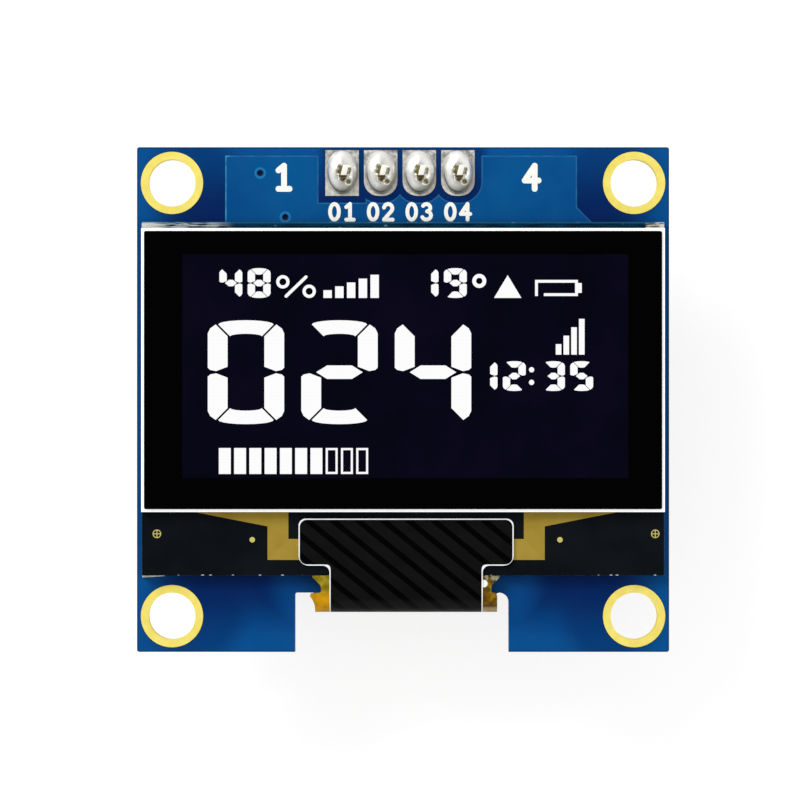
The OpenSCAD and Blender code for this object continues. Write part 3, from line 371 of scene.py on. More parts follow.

# %% [markdown]
# ## Copper under the mask
# The copper fields stand a little over the laminate, and the mask over them is paler. Where the mask
# runs thin over an edge of the copper, it shows a pale line, and a painted highlight makes that line
# bright, most of all along the field's left edge. The front field is copied from its solid, its loose
# triangles are joined, and an inset round its top makes that line a face of its own.


# %% Helpers for shaping
def let_go():
    """Leaves edit mode and deselects everything."""
    if bpy.context.object and bpy.context.object.mode != "OBJECT":
        bpy.ops.object.mode_set(mode="OBJECT")
    bpy.ops.object.select_all(action="DESELECT")


def take(piece):
    """Makes this piece the active one, and the only one selected."""
    let_go()
    piece.select_set(True)
    bpy.context.view_layer.objects.active = piece
    return piece


def block(name, low, high):
    """A block between two corners, with its origin at the frame's origin."""
    let_go()
    low, high = Vector(low), Vector(high)
    bpy.ops.mesh.primitive_cube_add(size=1, location=(low + high) / 2)
    piece = bpy.context.object
    piece.name = piece.data.name = name
    piece.scale = high - low
    bpy.ops.object.transform_apply(location=True, rotation=True, scale=True)
    return piece


def from_node(node, name):
    """A piece that starts as a copy of a solid, with its loose triangles joined into faces."""
    piece = bpy.data.objects.new(name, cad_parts[node].data.copy())
    piece.data.name = name
    piece.data.materials.clear()
    bpy.context.scene.collection.objects.link(piece)
    take(piece)
    bpy.ops.mesh.customdata_custom_splitnormals_clear()
    bpy.ops.object.mode_set(mode="EDIT")
    bpy.ops.mesh.select_all(action="SELECT")
    bpy.ops.mesh.remove_doubles(threshold=0.001 * MM)
    bpy.ops.mesh.dissolve_limited(angle_limit=math.radians(1))
    bpy.ops.object.mode_set(mode="OBJECT")
    return piece


def pick(kind, test):
    """Selects the faces, edges or corners of the active piece that pass a test. Says how many."""
    bpy.ops.object.mode_set(mode="EDIT")
    bpy.ops.mesh.select_mode(type=kind)
    bpy.ops.mesh.select_all(action="DESELECT")
    mesh = bmesh.from_edit_mesh(bpy.context.object.data)
    parts = {"VERT": mesh.verts, "EDGE": mesh.edges, "FACE": mesh.faces}[kind]
    found = [part for part in parts if test(part)]
    for part in found:
        part.select_set(True)
    mesh.select_flush_mode()
    bmesh.update_edit_mesh(bpy.context.object.data)
    return len(found)


def faces_up(face):
    return face.normal.z > 0.9


def faces_down(face):
    return face.normal.z < -0.9


def modify(kind, **settings):
    """Adds a modifier to the active piece and applies it."""
    bpy.ops.object.mode_set(mode="OBJECT")
    step = bpy.context.object.modifiers.new(kind.title(), kind)
    for name, value in settings.items():
        setattr(step, name, value)
    bpy.ops.object.modifier_apply(modifier=step.name)


def soften(width, segments=2):
    """Rounds the sharp edges of the active piece. Its large faces keep their flat shading."""
    modify("BEVEL", width=width, segments=segments, limit_method="ANGLE", angle_limit=math.radians(35))
    bpy.ops.object.shade_smooth_by_angle(angle=math.radians(40))
    modify("WEIGHTED_NORMAL", keep_sharp=True)


def complete(piece, slot, nodes, *materials):
    """Gives a piece its materials and its body, and hides the solids that it stands for. The slot is not used."""
    take(piece)
    for material in materials[len(piece.data.materials):]:
        piece.data.materials.append(material)
    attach(piece, "root")
    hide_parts(*nodes)
    print(f"{piece.name}: {len(piece.data.polygons)} faces")


# %% Copper materials
VIAS = [(8.1, 1.7), (9.75, 4.6)]    # the two on the front field: mm from the board's left and upper edges
ALL_VIAS = VIAS + [(12, 8.4), (20, 12.4), (26.6, 9.6), (7.2, 12.6), (27.8, 14.2), (14, 15.6), (22, 16.4)]


def make_masked_copper():
    """The mask over copper: paler than over laminate, with the two small plated holes, whose middles carry painted
    shade.
    """
    material, tree, where = finish("mask over copper")
    colour = mix(tree, use(tree, patches, Vector=where, Size=6 * MM), tone(0, 72, 133), tone(0, 84, 143))
    for x, y in VIAS:
        centre = (board_low.x + x * MM, board_high.y - y * MM, 0)
        away = use(tree, ring, Vector=where, Centre=centre)
        halo = calc(tree, "MULTIPLY", span(tree, away, 0.42 * MM, 0.28 * MM), 0.85)
        colour = mix(tree, halo, colour, tone(34, 142, 192))
        # Painted shade: a dark disc at the middle of each hole, for the shade inside it.
        colour = mix(tree, span(tree, away, 0.24 * MM, 0.2 * MM), colour, tone(2, 18, 58))
    weave = use(tree, patches, Vector=where, Size=0.5 * MM)
    surface(tree, weave, 0.15, 0.003 * MM, Base_Color=colour, Roughness=rough(tree, where, 1.5 * MM, 0.2, 0.28),
            Specular_IOR_Level=0.12)
    return material


def make_copper_edge():
    """The line where the mask runs thin over the edge of the copper, a little broken, with a painted highlight that is
    brightest along the field's left edge.
    """
    material, tree, where = finish("mask over an edge of copper with painted highlight")
    # Painted highlight: the bright colour lies along the field's left edge, the dim one on the rest of the line.
    left = span(tree, axes(tree, where)[0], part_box("copper_front")[0].x + 0.4 * MM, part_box("copper_front")[0].x + 0.2 * MM)
    bright = mix(tree, use(tree, patches, Vector=where, Size=0.5 * MM), tone(14, 106, 160), tone(42, 148, 196))
    dim = mix(tree, use(tree, patches, Vector=where, Size=0.8 * MM), tone(1, 84, 144), tone(14, 104, 160))
    surface(tree, Base_Color=mix(tree, left, dim, bright), Roughness=rough(tree, where, MM, 0.3, 0.4))
    return material


masked_copper = make_masked_copper()
copper_edge = make_copper_edge()
dress_nodes(masked_copper, "copper_back")


# %% Front copper field
def make_front_copper():
    piece = from_node("copper_front", "front_copper_field")
    pick("FACE", faces_up)
    bpy.ops.mesh.inset(thickness=0.09 * MM, depth=0, use_boundary=True)
    bpy.ops.mesh.select_all(action="INVERT")
    bpy.ops.object.mode_set(mode="OBJECT")
    for face in piece.data.polygons:
        face.material_index = 1 if face.select else 0
    piece.data.materials.append(masked_copper)
    piece.data.materials.append(copper_edge)
    complete(piece, "masked_copper", ["copper_front"])


make_front_copper()

# %% [markdown]
# ## Plugs in the small plated holes
# The mask flows into each small plated hole and closes it with a hollow plug, coloured dark as painted
# shade of the hole. One plug is modelled from a cylinder whose two faces are inset and pushed in, and
# it is copied to every hole.


# %% Plugs
PLUG_R = 0.2 * MM


def make_plug_mask():
    material, tree, where = finish("mask in a plated hole with painted shade")
    # Painted shade: the plug is coloured near black blue for the shade inside the hole.
    colour = mix(tree, use(tree, patches, Vector=where, Size=0.2 * MM), tone(2, 14, 44), tone(4, 26, 72))
    surface(tree, Base_Color=colour, Roughness=rough(tree, where, 0.2 * MM, 0.3, 0.45))
    return material


def make_plugs():
    mask = make_plug_mask()
    low, high = board_low.z + 0.06 * MM, board_high.z - 0.06 * MM
    for i, (x, y) in enumerate(ALL_VIAS, 1):
        place = Vector((board_low.x + x * MM, board_high.y - y * MM, 0))
        if i == 1:
            let_go()
            bpy.ops.mesh.primitive_cylinder_add(vertices=24, radius=PLUG_R, depth=high - low,
                                                location=place + Vector((0, 0, (low + high) / 2)))
            master = piece = bpy.context.object
            bpy.ops.object.transform_apply(location=True, rotation=True, scale=True)
            for test, away in ((faces_up, -1), (faces_down, 1)):
                pick("FACE", test)
                bpy.ops.mesh.inset(thickness=0.04 * MM, depth=0)
                bpy.ops.mesh.inset(thickness=0.06 * MM, depth=0)
                bpy.ops.transform.translate(value=(0, 0, away * 0.09 * MM))
            bpy.ops.object.mode_set(mode="OBJECT")
            bpy.ops.object.shade_smooth_by_angle(angle=math.radians(50))
            first = place
        else:
            piece = master.copy()
            piece.data = master.data.copy()
            bpy.context.scene.collection.objects.link(piece)
            take(piece)
            bpy.ops.transform.translate(value=place - first)
            bpy.ops.object.transform_apply(location=True, rotation=False, scale=False)
        piece.name = piece.data.name = f"hole_plug_{i}"
        plugs.append(piece)
    for piece in plugs:
        take(piece)
        piece.data.materials.append(mask)
        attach(piece, "root")
    print("plugs:", len(plugs))


plugs = []
make_plugs()

# %% [markdown]
# ## White print
# Print is a thin coat of white ink with a slightly uneven face. Its solids keep their shape.


# %% White ink
def make_ink():
    material, tree, where = finish("white ink")
    colour = mix(tree, use(tree, patches, Vector=where, Size=0.35 * MM), tone(248, 246, 235), tone(255, 255, 250))
    grain = use(tree, patches, Vector=where, Size=0.1 * MM)
    surface(tree, grain, 0.4, 0.005 * MM, Base_Color=colour, Roughness=rough(tree, where, 0.4 * MM, 0.45, 0.6))
    dress_nodes(material, "silkscreen_front", "silkscreen_back")


make_ink()

# %% [markdown]
# ## Gold plating and tinned pads
# The mounting holes are plated through and gilded, so their rings are flat, warm and bright. The
# header pads are tinned by hand: grey and grainy in the corners, and smoother beside the joints.


# %% Gold and tin
def make_gold():
    material, tree, where = finish("gold plating")
    colour = mix(tree, use(tree, patches, Vector=where, Size=1.2 * MM), tone(252, 230, 104), tone(255, 238, 118))
    grain = use(tree, patches, Vector=where, Size=0.12 * MM)
    surface(tree, grain, 0.2, 0.004 * MM, Base_Color=colour, Metallic=0.15, Roughness=rough(tree, where, 0.6 * MM, 0.42, 0.55))
    dress_nodes(material, *numbered("mounting_ring", 4))


def make_tin():
    material, tree, where = finish("tinned pad")
    colour = mix(tree, use(tree, patches, Vector=where, Size=0.3 * MM), tone(140, 141, 138), tone(224, 221, 213))
    down = span(tree, axes(tree, where)[1], pad_high.y - 0.2 * MM, pad_high.y - 1.8 * MM)
    colour = mix(tree, calc(tree, "MULTIPLY", down, 0.7), colour, tone(226, 221, 210))
    grain = use(tree, patches, Vector=where, Size=0.12 * MM)
    surface(tree, grain, 0.5, 0.012 * MM, Base_Color=colour, Metallic=0.25, Roughness=rough(tree, where, 0.3 * MM, 0.4, 0.6))
    dress_nodes(material, *numbered("header_pad", 4))


make_gold()
make_tin()

# %% [markdown]
# ## Solder joints
# Each pin is soldered by hand: a smooth dome that wets its whole pad, bright on the side of the lamp and
# painted darker on the side away from it, with painted olive shade in the hollows beside the pin and
# small dark pits of flux beside it. A sphere is stretched to the joint's width and length and cut at the
# pad. Its foot is spread, its bottom is drawn down into the plated hole, and soft lumps and two pits are
# pushed in. The lumps follow the place in the frame, so no two joints match.


# %% Solder and pin metal
def pin_local(tree, where):
    """The place around the nearest pin of the row."""
    first = add(tree, "ShaderNodeVectorMath", {0: shift(tree, "SUBTRACT", where, (pins[0].x, pins[0].y, 0))},
                operation="ADD").outputs[0]
    parts = axes(tree, first)
    step = calc(tree, "ROUND", calc(tree, "DIVIDE", parts[0], pin_pitch))
    x = calc(tree, "SUBTRACT", parts[0], calc(tree, "MULTIPLY", step, pin_pitch))
    return add(tree, "ShaderNodeCombineXYZ", {0: x, 1: parts[1], 2: parts[2]}).outputs[0]


# Hollows beside the pin: x and y from the pin's middle, radius, and depth, in mm. The last two are pits of flux.
HOLLOWS = [(-0.20, 0.06, 0.11, 0.12), (-0.14, 0.36, 0.11, 0.12), (0.43, 0.01, 0.10, 0.12), (0.49, 0.22, 0.10, 0.12),
           (0.07, -0.38, 0.19, 0.26), (0.42, -0.58, 0.15, 0.10)]


def make_solder():
    material, tree, where = finish("solder")
    colour = mix(tree, use(tree, patches, Vector=where, Size=0.7 * MM), tone(206, 204, 194), tone(240, 239, 234))
    surface(tree, use(tree, patches, Vector=where, Size=0.3 * MM), 0.25, 0.01 * MM, Base_Color=colour, Metallic=0.75,
            Roughness=rough(tree, where, 0.5 * MM, 0.28, 0.42))
    return material


def make_joint_solder():
    """Solder on the header, with flux in its pits, painted shade on the side away from the lamp, and painted olive
    shade in the hollows beside the pin.
    """
    material, tree, where = finish("solder joint")
    near = pin_local(tree, where)
    colour = mix(tree, use(tree, patches, Vector=where, Size=0.7 * MM), tone(222, 220, 212), tone(244, 243, 240))
    parts = axes(tree, near)
    # Painted shade: the side of the dome away from the lamp is made darker and browner.
    away = calc(tree, "SUBTRACT", calc(tree, "MULTIPLY", parts[0], 0.75), parts[1])
    far_side_shade = calc(tree, "MULTIPLY", span(tree, away, 0.35 * MM, 1.35 * MM), 0.75)
    colour = mix(tree, far_side_shade, colour, tone(142, 140, 120))
    oval = shift(tree, "DIVIDE", near, (0.98, 1.43, 1))
    rim = use(tree, ring, Vector=oval, Centre=(0, 0.05 * MM, 0))
    line = calc(tree, "MULTIPLY", span(tree, rim, 0.86 * MM, 0.9 * MM), span(tree, rim, 0.97 * MM, 0.93 * MM))
    low_left = span(tree, calc(tree, "ADD", parts[0], parts[1]), -0.5 * MM, -1.1 * MM)
    colour = mix(tree, calc(tree, "MULTIPLY", calc(tree, "MULTIPLY", line, low_left), 0.75), colour, tone(84, 82, 66))
    slot, flux = 0.0, 0.0
    for x, y, radius, depth in HOLLOWS:
        gap = use(tree, ring, Vector=near, Centre=(x * MM, y * MM, 0))
        if y > 0:
            slot = calc(tree, "MAXIMUM", slot, span(tree, gap, 2.0 * radius * MM, 0.6 * radius * MM))
        else:
            flux = calc(tree, "MAXIMUM", flux, span(tree, gap, 1.5 * radius * MM, 0.6 * radius * MM))
    stain = use(tree, patches, Vector=where, Size=0.12 * MM, Low=0.35, High=0.6)
    # Painted shade: the hollows beside the pin are coloured olive.
    colour = mix(tree, calc(tree, "MULTIPLY", slot, 0.7), colour, tone(142, 136, 86))
    flux_colour = mix(tree, stain, tone(44, 34, 6), tone(122, 104, 40))
    colour = mix(tree, calc(tree, "MULTIPLY", flux, 0.95), colour, flux_colour)
    surface(tree, use(tree, patches, Vector=where, Size=0.3 * MM), 0.3, 0.012 * MM, Base_Color=colour, Metallic=0.62,
            Roughness=rough(tree, where, 0.5 * MM, 0.3, 0.45))
    return material


def make_pin_metal():
    material, tree, where = finish("pin metal")
    colour = mix(tree, use(tree, patches, Vector=where, Size=0.4 * MM), tone(222, 200, 140), tone(244, 226, 172))
    lines = use(tree, patches, Vector=shift(tree, "MULTIPLY", where, (1, 1, 0.08)), Size=0.06 * MM)
    tip_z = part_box("header_pin_1")[1].z
    # Painted shade: the sloping sides of the snipped end are olive dark.
    above = span(tree, axes(tree, where)[2], tip_z - 0.34 * MM, tip_z - 0.3 * MM)
    colour = mix(tree, above, colour, tone(112, 104, 54))
    # Painted highlight: the snipped top is near white and hardly metallic, in place of the lamp's reflection.
    cut = span(tree, axes(tree, where)[2], tip_z - 0.04 * MM, tip_z - 0.015 * MM)
    colour = mix(tree, cut, colour, tone(253, 251, 242))
    metal = calc(tree, "MULTIPLY_ADD", cut, -0.62, 0.7)
    surface(tree, lines, 0.25, 0.006 * MM, Base_Color=colour, Metallic=metal, Roughness=rough(tree, where, 0.5 * MM, 0.3, 0.45))
    return material


solder = make_solder()
joint_solder = make_joint_solder()
pin_metal = make_pin_metal()
dress_nodes(solder, "flex_solder", "parts_solder")


# %% Solder joints
def make_joints():
    low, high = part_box("header_solder_1")
    half_w, half_l = (high.x - low.x) / 2, (high.y - low.y) / 2
    foot = pad_high.z
    rise = high.z - foot + 0.02 * MM
    sink = (half_w ** 2 - rise ** 2) / (2 * rise)
    radius = rise + sink
    length = half_l / math.sqrt(1 - (sink / radius) ** 2)
    hole_r = 0.5 * MM
    lumps = bpy.data.textures.new("solder lumps", "CLOUDS")
    lumps.noise_scale = 0.7 * MM
    for i, pin in enumerate(pins, 1):
        let_go()
        bpy.ops.mesh.primitive_uv_sphere_add(segments=72, ring_count=56, radius=radius, location=(pin.x, pin.y, foot - sink))
        piece = bpy.context.object
        piece.name = piece.data.name = f"solder_joint_{i}"
        piece.scale = (1, length / radius, 1)
        bpy.ops.object.transform_apply(location=True, rotation=True, scale=True)
        bpy.ops.object.mode_set(mode="EDIT")
        bpy.ops.mesh.select_all(action="SELECT")
        bpy.ops.mesh.bisect(plane_co=(0, 0, foot), plane_no=(0, 0, 1), use_fill=True, clear_inner=True)
        pick("VERT", lambda v: abs(v.co.z - foot) < 0.001 * MM)
        bpy.ops.transform.resize(value=(1.05, 1.02, 1), center_override=(pin.x, pin.y, foot))
        pick("FACE", faces_down)
        bpy.ops.mesh.inset(thickness=0.3 * MM, depth=0)
        bpy.ops.transform.resize(value=(hole_r / (half_w - 0.25 * MM), hole_r / (half_l - 0.27 * MM), 1),
                                 center_override=(pin.x, pin.y, foot))
        bpy.ops.mesh.extrude_region_move(TRANSFORM_OT_translate={"value": (0, 0, board_low.z - foot - 0.05 * MM)})
        pick("VERT", lambda v: v.co.z > foot - 0.001 * MM and (v.co.z > foot + 0.02 * MM or (v.co - pin).xy.length > 0.65 * MM))
        bpy.ops.transform.resize(value=(1.07, 1.01, 1), center_override=(pin.x, pin.y, foot))
        bpy.ops.transform.translate(value=(0, 0.07 * MM, 0))
        for x, y, size, depth in HOLLOWS:
            spot = Vector((pin.x + x * MM, pin.y + y * MM, 0))
            pick("VERT", lambda v: v.co.z > foot + 0.1 * MM and (v.co - spot).xy.length < 0.6 * size * MM)
            bpy.ops.transform.translate(value=(0, 0, -depth * MM), use_proportional_edit=True,
                                        proportional_edit_falloff="SMOOTH", proportional_size=1.3 * size * MM)
        bpy.ops.object.mode_set(mode="OBJECT")
        modify("DISPLACE", texture=lumps, texture_coords="GLOBAL", strength=0.07 * MM, mid_level=0.5)
        bpy.ops.object.shade_smooth_by_angle(angle=math.radians(50))
        complete(piece, "solder", [f"header_solder_{i}"], joint_solder)


make_joints()

# %% [markdown]
# ## Header pins
# A header pin is square wire. Its upper end was snipped, which leaves a narrow top between two sloping
# sides, and its lower end is pressed to a blunt point. The top carries a painted highlight and the
# sloping sides painted shade. One pin is drawn from a block by extruding both ends and narrowing them,
# and the others are copies.


# %% Header pins
TIP_LEAN = (0.2 * MM, 0.17 * MM)    # how far the shears pushed the upper end aside
TIP_SKEW = 0.09 * MM    # and how far its two ends were pushed further, each its own way


def make_pins():
    low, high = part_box("header_pin_1")
    taper = 0.35 * MM
    master = block("pin_1", (low.x, low.y, low.z + taper), (high.x, high.y, high.z - taper))
    centre = pins[0]
    for test, away, width, length, lean in ((faces_up, 1, 0.54, 1.06, TIP_LEAN), (faces_down, -1, 0.5, 0.5, (0, 0))):
        pick("FACE", test)
        bpy.ops.mesh.extrude_region_move(TRANSFORM_OT_translate={"value": (*lean, away * taper)})
        bpy.ops.transform.resize(value=(width, length, 1), center_override=(centre.x + lean[0], centre.y + lean[1], 0))
    for way in (-1, 1):
        pick("VERT", lambda v: v.co.z > high.z - 0.01 * MM and way * (v.co.y - centre.y - TIP_LEAN[1]) > 0)
        bpy.ops.transform.translate(value=(way * TIP_SKEW, 0, 0))
    soften(0.025 * MM)
    for i in range(1, 5):
        piece = master
        if i > 1:
            piece = master.copy()
            piece.data = master.data.copy()
            piece.name = piece.data.name = f"pin_{i}"
            bpy.context.scene.collection.objects.link(piece)
            take(piece)
            bpy.ops.transform.translate(value=(pins[i - 1].x - centre.x, 0, 0))
            bpy.ops.object.transform_apply(location=True, rotation=False, scale=False)
        fits.append((piece, i))


fits = []
make_pins()
for piece, i in fits:
    complete(piece, "pin_metal", [f"header_pin_{i}"], pin_metal)

# %% [markdown]
# ## Header spacer
# The black spacer is moulded as a row of blocks with a notch between each pair. It is copied from its
# solid, and its edges get the small radius of a mould. The plastic is matt with a fine grain.


# %% Black plastic and the spacer
def make_plastic(name, dark, light, low, high):
    material, tree, where = finish(name)
    colour = mix(tree, use(tree, patches, Vector=where, Size=0.8 * MM), dark, light)
    grain = use(tree, patches, Vector=where, Size=0.06 * MM)
    surface(tree, grain, 0.3, 0.006 * MM, Base_Color=colour, Roughness=rough(tree, where, 0.5 * MM, low, high))
    return material


black_plastic = make_plastic("black plastic", tone(18, 18, 19), tone(34, 34, 36), 0.42, 0.58)
spacer = from_node("header_spacer", "pin_spacer")
soften(0.06 * MM)
complete(spacer, "black_plastic", ["header_spacer"], black_plastic)

# %% [markdown]
# ## Tape, seal and emitter
# Between the board and the rear glass lies a pale foam tape. Between the two glasses lie a resin seal
# and the thin light-emitting layer. They show only on edges, and their solids keep their shape.


# %% Tape, seal and emitter
def make_layers():
    material, tree, where = finish("foam tape")
    colour = mix(tree, use(tree, patches, Vector=where, Size=0.3 * MM), tone(196, 192, 180), tone(230, 227, 216))
    cells = use(tree, specks, Vector=where, Size=0.12 * MM, Share=0.6)
    surface(tree, cells, 0.5, 0.02 * MM, Base_Color=mix(tree, cells, colour, tone(158, 154, 142)),
            Roughness=rough(tree, where, 0.4 * MM, 0.75, 0.95))
    dress_nodes(material, "mounting_tape")
    material, tree, where = finish("seal resin")
    colour = mix(tree, use(tree, patches, Vector=where, Size=0.6 * MM), tone(168, 162, 140), tone(206, 202, 184))
    surface(tree, Base_Color=colour, Roughness=rough(tree, where, 0.5 * MM, 0.25, 0.45))
    dress_nodes(material, "panel_seal")
    material, tree, where = finish("light-emitting layer")
    colour = mix(tree, use(tree, patches, Vector=where, Size=2 * MM), tone(16, 18, 46), tone(30, 34, 72))
    rows = use(tree, stripes, Vector=where, Across=(0, 1, 0), Pitch=0.23 * MM, Width=0.05 * MM)
    surface(tree, Base_Color=mix(tree, rows, colour, tone(60, 62, 84)), Metallic=0.4,
            Roughness=rough(tree, where, MM, 0.25, 0.4))
    dress_nodes(material, "emitter_layer")


make_layers()

# %% [markdown]
# ## The two glasses
# Both plates are cut glass with ground edges. The rear one is dark, because its back is painted, and
# its strip above the front plate shows pale silvery streaks at its left end. The front one shows only
# as a white ground line round the black film, which a painted glow makes brighter. Each is a block
# whose cut edges are bevelled.


# %% Glass materials
def make_dark_glass():
    material, tree, where = finish("dark glass")
    parts = axes(tree, where)
    base = mix(tree, use(tree, patches, Vector=where, Size=3 * MM), tone(13, 17, 21), tone(19, 22, 26))
    strip = span(tree, parts[1], front_high.y - 0.01 * MM, front_high.y + 0.02 * MM)
    teal = mix(tree, use(tree, patches, Vector=shift(tree, "MULTIPLY", where, (0.3, 2, 1)), Size=0.4 * MM), tone(2, 30, 48), tone(4, 52, 80))
    glint = use(tree, specks, Vector=shift(tree, "MULTIPLY", where, (0.5, 1, 1)), Size=0.3 * MM, Share=0.22)
    teal = mix(tree, calc(tree, "MULTIPLY", glint, 0.5), teal, tone(120, 150, 164))
    along = shift(tree, "MULTIPLY", where, (0.22, 2.2, 1))
    streak = use(tree, patches, Vector=along, Size=0.2 * MM, Low=0.42, High=0.58)
    # Pale silvery streaks in the left part of the strip, lightest at its very end.
    silver_streaks = mix(tree, streak, tone(22, 44, 62), tone(176, 182, 182))
    tan = mix(tree, streak, tone(82, 70, 58), tone(236, 232, 222))
    silver_streaks = mix(tree, span(tree, parts[0], rear_low.x + 2 * MM, rear_low.x + 0.4 * MM, 0.0, 0.7), silver_streaks, tone(232, 230, 222))
    toward_left_end = span(tree, parts[0], rear_low.x + 6.2 * MM, rear_low.x + 4.2 * MM)
    strip_colour = mix(tree, toward_left_end, teal, silver_streaks)
    strip_colour = mix(tree, span(tree, parts[0], rear_high.x - 1.3 * MM, rear_high.x - 1.15 * MM), strip_colour, tan)
    # Painted highlight: a lighter blue line along the upper edge of the strip.
    upper = span(tree, parts[1], rear_high.y - 0.11 * MM, rear_high.y - 0.07 * MM, 0.0, 0.55)
    strip_colour = mix(tree, upper, strip_colour, tone(30, 100, 138))
    # Painted glints: small white specks along the lower edge of the rear glass.
    edge = span(tree, parts[1], rear_low.y + 0.07 * MM, rear_low.y + 0.04 * MM)
    edge_glints = use(tree, specks, Vector=shift(tree, "MULTIPLY", where, (1, 0.2, 0.2)), Size=0.4 * MM, Share=0.55)
    base = mix(tree, calc(tree, "MULTIPLY", edge, edge_glints), base, tone(206, 218, 226))
    colour = mix(tree, strip, base, strip_colour)
    top = span(tree, parts[2], rear_high.z - 0.06 * MM, rear_high.z - 0.03 * MM)
    ground = mix(tree, use(tree, patches, Vector=where, Size=0.1 * MM), tone(74, 88, 90), tone(140, 152, 152))
    colour = mix(tree, top, ground, colour)
    surface(tree, use(tree, patches, Vector=where, Size=0.2 * MM), 0.12, 0.004 * MM, Base_Color=colour,
            Roughness=rough(tree, where, 2 * MM, 0.1, 0.2), Specular_IOR_Level=0.25)
    return material


# Painted light: the ground top edge of the front glass glows, so that it shows brightly lit.
PAINTED_EDGE_GLOW = 0.40    # the light that leaves the ground edge of the glass


def make_clear_glass():
    material, tree, where = finish("clear glass")
    parts = axes(tree, where)
    frost = mix(tree, use(tree, patches, Vector=where, Size=0.3 * MM), tone(248, 250, 250), tone(255, 255, 255))
    wall = mix(tree, use(tree, patches, Vector=shift(tree, "MULTIPLY", where, (1, 1, 0.3)), Size=0.15 * MM), tone(132, 152, 150), tone(196, 210, 208))
    top = span(tree, parts[2], front_high.z - 0.06 * MM, front_high.z - 0.04 * MM)
    grain = use(tree, patches, Vector=where, Size=0.05 * MM)
    surface(tree, grain, 0.3, 0.004 * MM, Base_Color=mix(tree, top, wall, frost), Roughness=rough(tree, where, 0.4 * MM, 0.3, 0.5),
            Emission_Color=frost, Emission_Strength=calc(tree, "MULTIPLY", top, PAINTED_EDGE_GLOW))
    return material


dark_glass = make_dark_glass()
clear_glass = make_clear_glass()


# %% Glass plates
def make_plates():
    rear = block("rear_glass_plate", rear_low, rear_high)
    soften(0.05 * MM, 2)
    complete(rear, "dark_glass", ["rear_glass"], dark_glass)
    front = block("front_glass_plate", front_low, front_high)
    pick("EDGE", lambda e: all(v.co.z > front_high.z - 0.01 * MM for v in e.verts))
    bpy.ops.mesh.bevel(offset=0.035 * MM, segments=1)
    soften(0.012 * MM, 2)
    complete(front, "clear_glass", ["front_glass"], clear_glass)


make_plates()

# %% [markdown]
# ## Adhesive bead
# A little of the tape was squeezed out under the lower left corner of the rear glass. It is a low
# block that narrows to one end, with soft edges.


# %% Adhesive bead
def make_bead():
    """The bit of white tape that was squeezed out under the rear glass."""
    bead = block("adhesive_bead", (rear_low.x + 0.01 * MM, rear_low.y - 0.15 * MM, board_high.z + 0.005 * MM),
                 (rear_low.x + 1.5 * MM, rear_low.y + 0.2 * MM, rear_low.z + 0.04 * MM))
    pick("VERT", lambda v: v.co.x > rear_low.x + MM and v.co.y < rear_low.y)
    bpy.ops.transform.translate(value=(0, 0.1 * MM, 0))
    soften(0.05 * MM, 3)
    print("adhesive bead:", len(bead.data.polygons), "faces")
    bead.data.materials.append(bpy.data.materials["foam tape"])
    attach(bead, "root")


make_bead()

# %% [markdown]
# ## Polarizer film and the lit picture
# The film is glossy black plastic. Where the picture lies behind it, it lets a trace of dark blue
# through. The picture itself is light, so its shapes give off white light. They are drawn in dots,
# and faint lines between the dots break them up.


# %% Film and lit shapes
def make_window():
    material, tree, where = finish("black film")
    lit_low, lit_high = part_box("emitter_layer")
    inside = use(tree, reach, Vector=where, Centre=((lit_low.x + lit_high.x) / 2, (lit_low.y + lit_high.y) / 2, 0),
                 Half=((lit_high.x - lit_low.x) / 2 - 0.25 * MM, (lit_high.y - lit_low.y) / 2 - 0.25 * MM, 1))
    glow = mix(tree, use(tree, patches, Vector=where, Size=4 * MM), tone(6, 5, 18), tone(10, 8, 26))
    colour = mix(tree, span(tree, inside, 0.0, 0.05 * MM), tone(0, 0, 0), glow)
    grain = use(tree, patches, Vector=where, Size=0.4 * MM)
    surface(tree, grain, 0.04, 0.001 * MM, Base_Color=colour, Roughness=rough(tree, where, 3 * MM, 0.12, 0.17),
            Specular_IOR_Level=0.1)
    film = block("polarizer_film", film_low, film_high)
    pick("EDGE", lambda e: abs(e.verts[0].co.z - e.verts[1].co.z) > 0.05 * MM)
    bpy.ops.mesh.bevel(offset=0.12 * MM, segments=4)
    soften(0.02 * MM, 2)
    complete(film, "black_film", ["polarizer"], material)


def make_light():
    material, tree, where = finish("lit white")
    across = use(tree, stripes, Vector=where, Across=(1, 0, 0), Pitch=0.2297 * MM, Width=0.03 * MM)
    down = use(tree, stripes, Vector=where, Across=(0, 1, 0), Pitch=0.2297 * MM, Width=0.03 * MM)
    gaps = calc(tree, "MULTIPLY", calc(tree, "MAXIMUM", across, down), 0.08)
    white = mix(tree, gaps, tone(252, 252, 252), tone(196, 200, 214))
    surface(tree, Base_Color=tone(12, 12, 14), Roughness=0.4, Emission_Color=white, Emission_Strength=1.0,
            Specular_IOR_Level=0.2)
    dress_nodes(material, "lit_segments")


make_window()
make_light()

# %% [markdown]
# ## Gold traces, driver chip and the ledge
# The ledge carries gold bands made of many fine parallel traces, and small alignment marks. The bare
# silicon chip lies under the black cover.


# %% Traces and chip
BAND_OUTER = 9.095 * MM    # from the middle of the cover to the outer edge of a gold band
BAND_STEP = 2.71 * MM    # from the cover's upper edge to the lowest edge of a gold band


